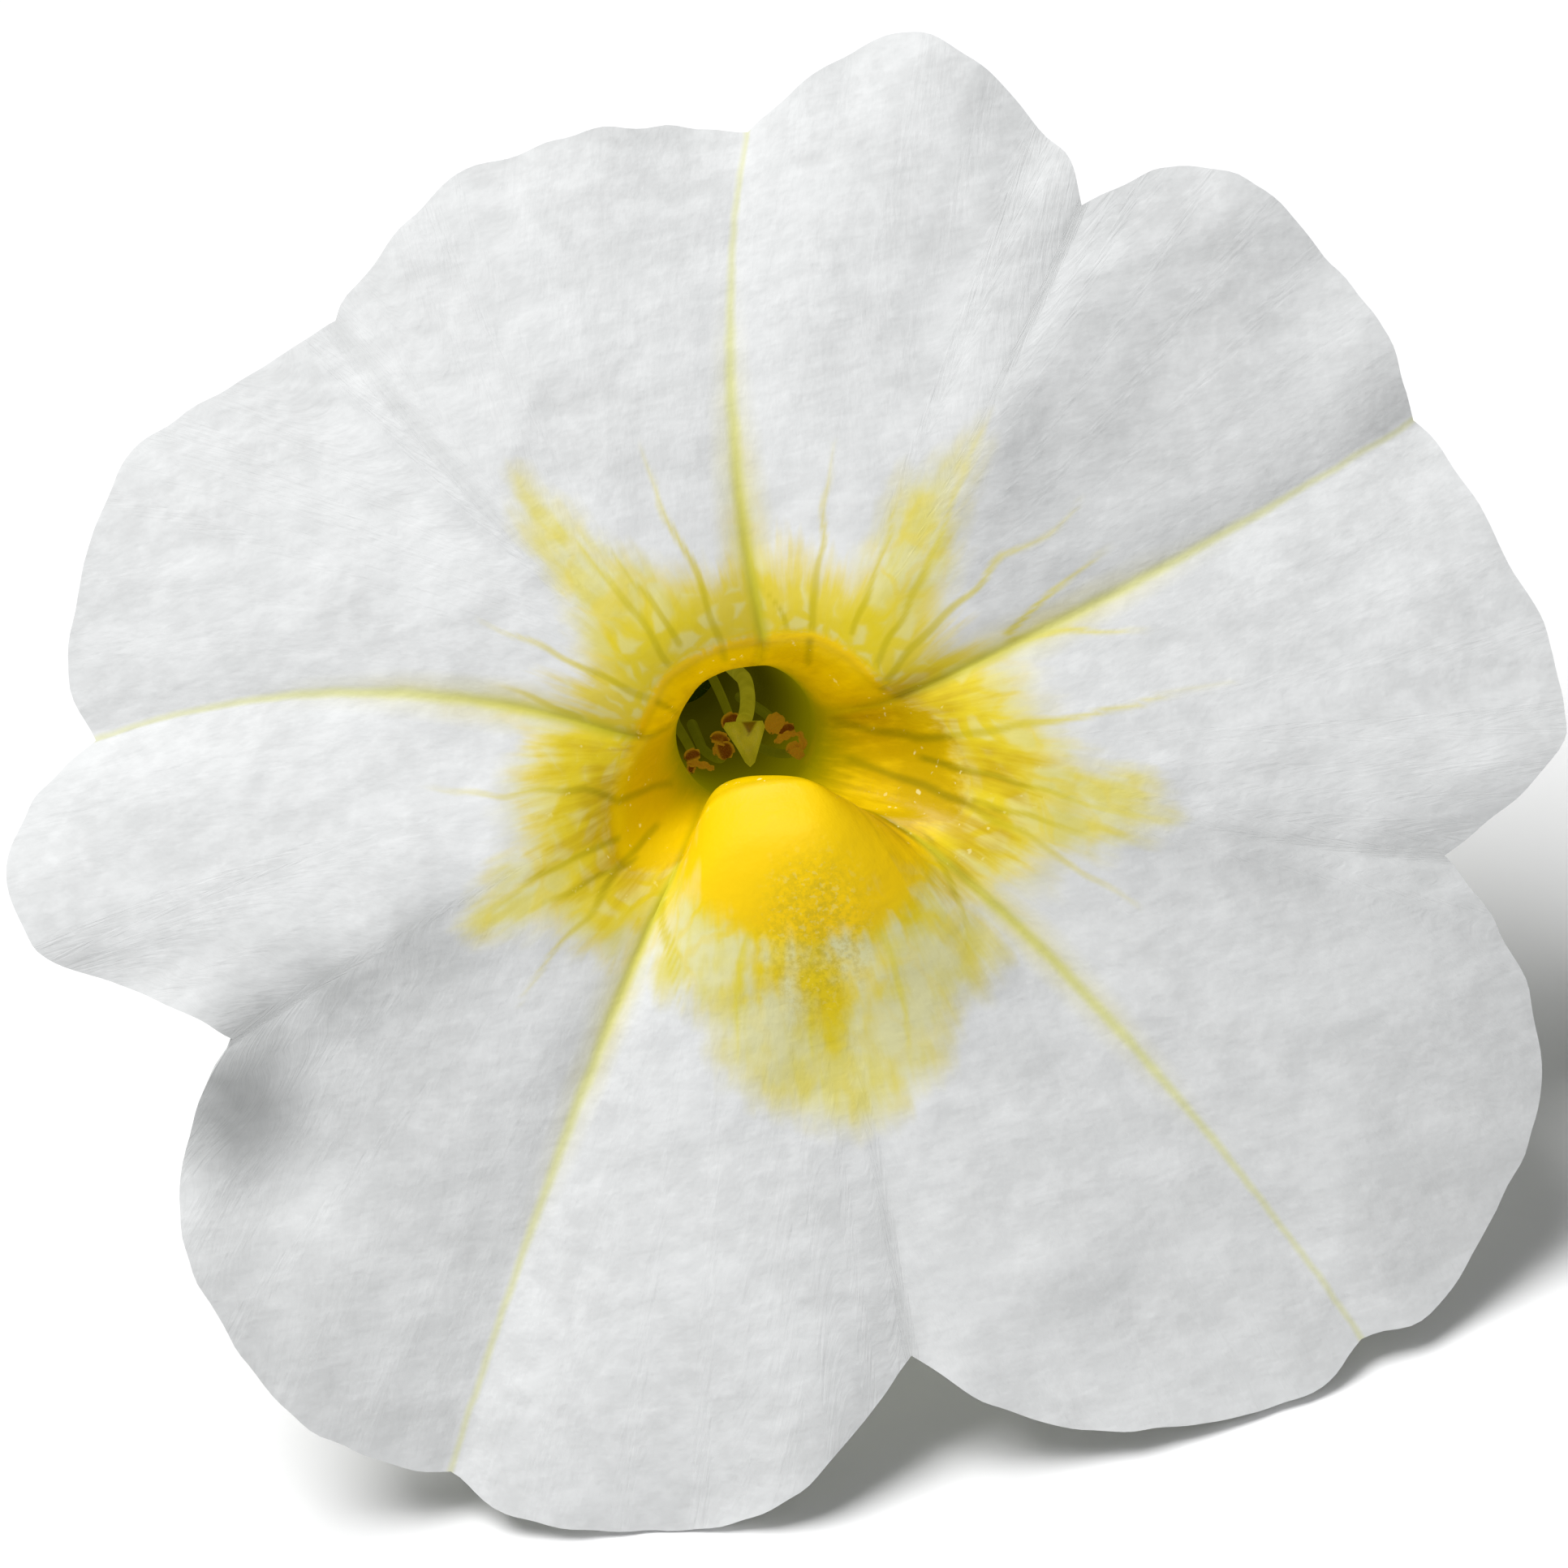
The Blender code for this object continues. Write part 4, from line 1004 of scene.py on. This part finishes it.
def makePetalFront():
    made, inputs = newMaterial("petalFront", 0.55)
    inputs["Specular IOR Level"].default_value = 0.18
    spoke, reach, place = petalReadings()
    opened, sideVein, goldField, perSpoke = map(readAttribute, ("open", "sideVein", "gold", "perSpoke"))
    tissue = placeGroup("tissueGrain", place=place, scale=520)
    streakPlace = joined(times(spoke, 7), times(reach, 4))
    streakOff = swing(streakPlace, 1, 3, 0.6)
    fineOff = swing(place, 2400, 3, 0.6)
    softOff = swing(place, 900)
    feather = plus(streakOff, softOff)
    wobble = times(swing(place, 1300), 0.10)
    line, halo, seam = (
        placeGroup("spokeVeins", spoke=plus(spoke, shift), perSpoke=perSpoke, reach=reach,
                   widthAtThroat=wide, widthAtRim=narrow, wobble=wobble)["Mask"]
        for shift, wide, narrow in ((0, 0.21, 0.10), (0, 0.65, 0.20), (1, 0.30, 0.26)))
    net = placeGroup("veinNet", spoke=spoke, reach=reach, place=place)

    def whereOpen(closed, wide):
        return fade(opened, 0, 1, closed, wide)

    # white tissue, mottled with wrinkles that run across, with a few peach specks; painted shade greys the
    # seams and the spots where one lobe tucks under the next
    mottle = grain(stretched(place, (520, 1500, 1500)), 1, 3, 0.6)
    # painted shade: the shade spots darken the white, most where one lobe shadows the next
    grey = times(readAttribute("grey"), fade(softOff, -0.2, 0.25, 0.75, 1.15))
    peach = fade(grain(place, 330, 1), 0.77, 0.80, 0, 0.35)
    colour = layered(
        tint["white"],
        (fade(tissue["Cloud"], 0.35, 0.65), "shade"), (fade(fineOff, -0.12, 0.2, 0, 0.5), "bright"),
        (fade(mottle, 0.52, 0.32, 0, 0.26), "fold"), (fade(mottle, 0.52, 0.68, 0, 0.45), "bright"),
        # painted shade in the seams and in the shade spots
        (times(seam, fade(reach, 0.15, 0.45, 0, 0.38)), "fold"), (times(grey, fade(reach, 0.1, 0.3)), "dusk"),
        (times(peach, fade(reach, 0.5, 0.7)), "peach"))

    # the star's arms, feathered along the veins
    edge = plus(readAttribute("star"), plus(times(streakOff, 0.9), times(softOff, 0.7)))
    nearLip = plus(reach, times(feather, 0.12))
    nearLip = fade(nearLip, whereOpen(0.09, 0.27), whereOpen(0, 0.11))
    starMask = calc("MAXIMUM", fade(edge, -0.42, 0.5), nearLip)
    starMask = calc("MAXIMUM", starMask, times(halo, fade(reach, 0.1, 0.75, 0.75, 0)))
    netLines = times(net["Lines"], fade(reach, 0.1, 0.4, 0.6, 0.18))
    starColour = layered(tint["starPale"], (fade(feather, -0.22, 0.24), "star"), (netLines, "starFine"))
    thin = fade(plus(streakOff, times(softOff, 0.8)), -0.16, 0.12, 0.8, 0.95)
    thin = mixed(fade(reach, 0.3, 0.04), thin, (0.92, 0.92, 0.92))
    colour = mixed(times(starMask, thin), colour, starColour)

    # pale meshes of a golden net just outside the lip
    netMask = fade(plus(reach, times(streakOff, 0.25)), 0.07, 0.2, 1, 0)
    netMask = times(netMask, fade(reach, -0.02, 0.02))
    netColour = mixed(net["Inside"], tint["starFine"], tint["netPale"])
    colour = mixed(times(netMask, 0.9), colour, netColour)
    sideColour = mixed(fade(reach, 0.05, 0.35), tint["sideRoot"], tint["side"])
    colour = mixed(fade(sideVein, 0, 1, 0, 0.76), colour, sideColour)

    # gold on the lip and on the front of the palate, with a speckled patch
    goldEdge = plus(times(streakOff, 1.3), times(softOff, 1.1))
    goldEdge = plus(goldEdge, times(net["Lines"], 0.16))
    goldMask = fade(plus(goldField, goldEdge), 0.2, 0.9)
    goldMask = times(goldMask, fade(goldField, 0, 0.12))
    gold = mixed(fade(goldField, 0.2, 1), tint["starFine"], tint["gold"])
    colour = mixed(goldMask, colour, gold)
    speck = readAttribute("speck")
    dark = times(speck, fade(grain(place, 6800, 3, 0.7), 0.40, 0.64))
    pale = times(speck, fade(grain(place, 8200, 2), 0.56, 0.68))
    colour = layered(colour, (times(dark, 0.42), "speck"), (times(pale, 0.4), "speckPale"))

    # main veins, olive near the throat and faint at the rim
    veinColour = mixed(fade(reach, 0, 0.5), tint["veinInner"], tint["veinOuter"])
    strength = fade(reach, 0.15, 1, 0.95, 0.5)
    colour = mixed(times(line, strength), colour, veinColour)

    # the golden wall of the throat, veined and with painted glints, that runs out in streaks where the throat
    # opens wide
    # painted highlights: small glints on the wall
    paintedGlint = fade(grain(place, 4600, 2, 0.6), 0.67, 0.74, 0, 0.8)
    wall = layered(
        tint["wall"], (fade(feather, -0.1, 0.3, 0, 0.5), "lipGold"), (times(sideVein, 0.85), "wallVein"),
        (times(line, 0.75), "wallVein"), (times(paintedGlint, fade(reach, -0.62, -0.3)), "paintedGlint"))
    ragged = plus(times(streakOff, 0.55), times(softOff, 0.35))
    wallMask = fade(plus(reach, times(ragged, opened)), whereOpen(0, 0.19), whereOpen(-0.09, -0.12))
    colour = mixed(wallMask, colour, wall)
    # olive deeper in the throat, then near black far down the tube as painted shade
    depth = plus(reach, times(streakOff, 0.25))
    colour = layered(colour, (fade(depth, whereOpen(-0.70, -0.50), -0.97), "olive"),
                     (fade(reach, -1.02, -1.4), "deep"))
    plug(inputs["Base Color"], colour)

    # painted light: an emission glow on the thin wall and tube, standing in for daylight that comes through
    # them
    lit = mixed(opened, (0.30, 0.20, 0), (0.15, 0.11, 0))
    lit = mixed(fade(opened, 0.82, 1), lit, (0, 0, 0))
    lit = mixed(fade(feather, -0.16, 0.2, 0, 0.55), lit, (0.08, 0.05, 0))
    lit = mixed(fade(reach, 0.02, -0.14), (0, 0, 0), lit)
    near = mixed(opened, (0.14, 0.125, 0), (0.125, 0.11, 0))
    glow = mixed(fade(reach, -1.05, -1.65), near, (0.020, 0.018, 0))
    glow = mixed(fade(reach, -0.4, -0.95), lit, glow)
    plug(inputs["Emission Color"], glow)
    inputs["Emission Strength"].default_value = 1
    plug(inputs["Roughness"], fade(reach, -0.1, 0.1, 0.34, 0.58))

    # a crinkled skin, with faint wrinkles along the lobes
    lobe = calc("FLOOR", times(plus(spoke, 1), 0.5))
    wrinklePlace = joined(times(times(fromSpoke(spoke), perSpoke), 2.2), times(reach, 11), lobe)
    wrinkle = times(grain(wrinklePlace, 1.6, 3, 0.6), 0.45)
    crinkle = plus(times(grain(place, 1250, 3, 0.6), 0.8), times(mottle, 0.9))
    height = times(plus(wrinkle, crinkle), fade(reach, 0.08, 0.35, 0.35, 1))
    height = plus(height, times(fineOff, fade(goldField, 0.3, 0.8, 0.25, 0.5)))
    addBump(inputs, height, 0.6, 0.00007)
    return made


def makePetalBack():
    made, inputs = newMaterial("petalBack", 0.6)
    spoke, reach, place = petalReadings()
    tissue = placeGroup("tissueGrain", place=place, scale=520)
    wobble = times(swing(place, 1300), 0.10)
    line = placeGroup("spokeVeins", spoke=spoke, perSpoke=readAttribute("perSpoke"), reach=reach,
                      widthAtThroat=0.26, widthAtRim=0.13, wobble=wobble)["Mask"]
    white = mixed(tissue["Cloud"], tint["back"], (0.68, 0.69, 0.66))
    colour = layered(white, (fade(reach, 0.35, -0.5), "tube"),
                     (fade(readAttribute("sideVein"), 0.1, 0.9, 0, 0.4), "backVein"),
                     (times(line, 0.75), "backVein"))
    plug(inputs["Base Color"], colour)
    addBump(inputs, plus(tissue["Height"], times(line, 0.8)), 0.7, 0.00007)
    return made


def tissueMaterial(name, rough, scale, paint, bump, glow=0):
    # plant tissue, painted by its clouds and cells; glow is the share of its colour given off as painted light,
    # standing in for daylight that comes through
    made, inputs = newMaterial(name, rough)
    tissue = placeGroup("tissueGrain", place=objectPlace(), scale=scale)
    colour = paint(tissue)
    plug(inputs["Base Color"], colour)
    if glow:
        paintedShineThrough(inputs, colour, glow)
    addBump(inputs, tissue["Height"], *bump)
    return made


def greenPaint(light, dark, stripes):
    def paint(tissue):
        colour = mixed(fade(tissue["Cloud"], 0.3, 0.7), dark, light)
        colour = mixed(fade(tissue["Cells"], 0.1, 0.5, 0, 0.25), colour, dark)
        return mixed(readAttribute(stripes), colour, (0.36, 0.46, 0.16))
    return paint


def pistilPaint(tissue):
    colour = mixed(fade(tissue["Cloud"], 0.3, 0.7), (0.36, 0.33, 0.012), (0.46, 0.42, 0.02))
    return mixed(readAttribute("hollow"), colour, (0.17, 0.10, 0.002))


def threadPaint(tissue):
    return mixed(tissue["Cloud"], (0.20, 0.21, 0.004), (0.28, 0.28, 0.01))


def pollenPaint(tissue):
    red = plus(readAttribute("red"), times(minus(tissue["Cloud"], 0.5), 0.6))
    colour = mixed(fade(red, 0.1, 0.8), (0.46, 0.24, 0.008), (0.17, 0.045, 0.001))
    return mixed(fade(tissue["Cells"], 0.45, 0.2, 0, 0.25), colour, (0.48, 0.34, 0.03))


def makeHairMaterial():
    made, inputs = newMaterial("hair", 0.4)
    colour = mixed(grain(objectPlace(), 3000), (0.62, 0.68, 0.48), (0.80, 0.82, 0.70))
    plug(inputs["Base Color"], colour)
    return made


# studio: a plain pale floor, soft light from above and a long lens square on to the face

view = dict(distance=180.0, width=30.05, sensor=36.0)
lamp = dict(towards=(-0.45, 0.66, 0.60), distance=0.7, size=0.42, power=5.5, ambient=0.19)


def makeStudio():
    bpy.ops.object.select_all(action="DESELECT")
    bpy.ops.mesh.primitive_plane_add(size=1.6, location=(0, 0, 0))
    floor = bpy.context.object
    floor.name = "floor"
    made, inputs = newMaterial("paleFloor", 0.9)
    colour = mixed(grain(objectPlace(), 60.0), (0.95, 0.95, 0.95), (0.94, 0.94, 0.945))
    plug(inputs["Base Color"], colour)
    inputs["Specular IOR Level"].default_value = 0.1
    floor.data.materials.append(made)
    world = bpy.data.worlds.new("studio")
    bpy.context.scene.world = world
    world.use_nodes = True
    sky = world.node_tree.nodes["Background"].inputs
    sky["Color"].default_value = (0.97, 0.985, 1, 1)
    sky["Strength"].default_value = lamp["ambient"]
    place = laid @ (Vector(lamp["towards"]).normalized() * lamp["distance"])
    bpy.ops.object.light_add(type="AREA", location=place)
    softBox = bpy.context.object
    softBox.data.size = lamp["size"]
    softBox.data.energy = lamp["power"]
    softBox.rotation_euler = (Vector((0, 0, 0.01)) - softBox.location).to_track_quat("-Z", "Y").to_euler()
    bpy.ops.object.camera_add()
    camera = bpy.context.object
    camera.data.sensor_width = view["sensor"]
    camera.data.lens = view["sensor"] * view["distance"] / view["width"]
    camera.data.clip_start = 0.01
    camera.matrix_world = laid @ Matrix.Translation((0, 0, view["distance"] * mm))
    bpy.context.scene.camera = camera
    bpy.context.scene.view_settings.view_transform = "Standard"


groups = dict(spokeVeins=makeSpokeVeins(), tissueGrain=makeTissueGrain(), veinNet=makeVeinNet())
hairs = makeHairMaterial()

print("petals")
makeCorolla(makePetalFront(), makePetalBack())

print("calyx and stalk")
skin = (0.7, 0.00006)
cup = makeCalyx(tissueMaterial(
    "calyxGreen", 0.6, 1100, greenPaint((0.17, 0.31, 0.06), (0.11, 0.22, 0.04), "rib"), skin))
stalk = makeStalk(tissueMaterial(
    "stalkGreen", 0.6, 1100, greenPaint((0.22, 0.35, 0.09), (0.15, 0.27, 0.06), "cut"), skin))

print("pistil and stamens")
makePistil(tissueMaterial("pistilGreen", 0.38, 2600, pistilPaint, (0.5, 0.00002), 0.30))
makeStamens(tissueMaterial("filamentGreen", 0.45, 2600, threadPaint, (0.4, 0.00002), 0.15),
            tissueMaterial("antherTissue", 0.75, 5200, pollenPaint, (0.8, 0.00003), 0.25))

print("hairs")
scatterHairs(cup, "calyxHairs", hairs)
scatterHairs(stalk, "stalkHairs", hairs)

print("studio")
makeStudio()
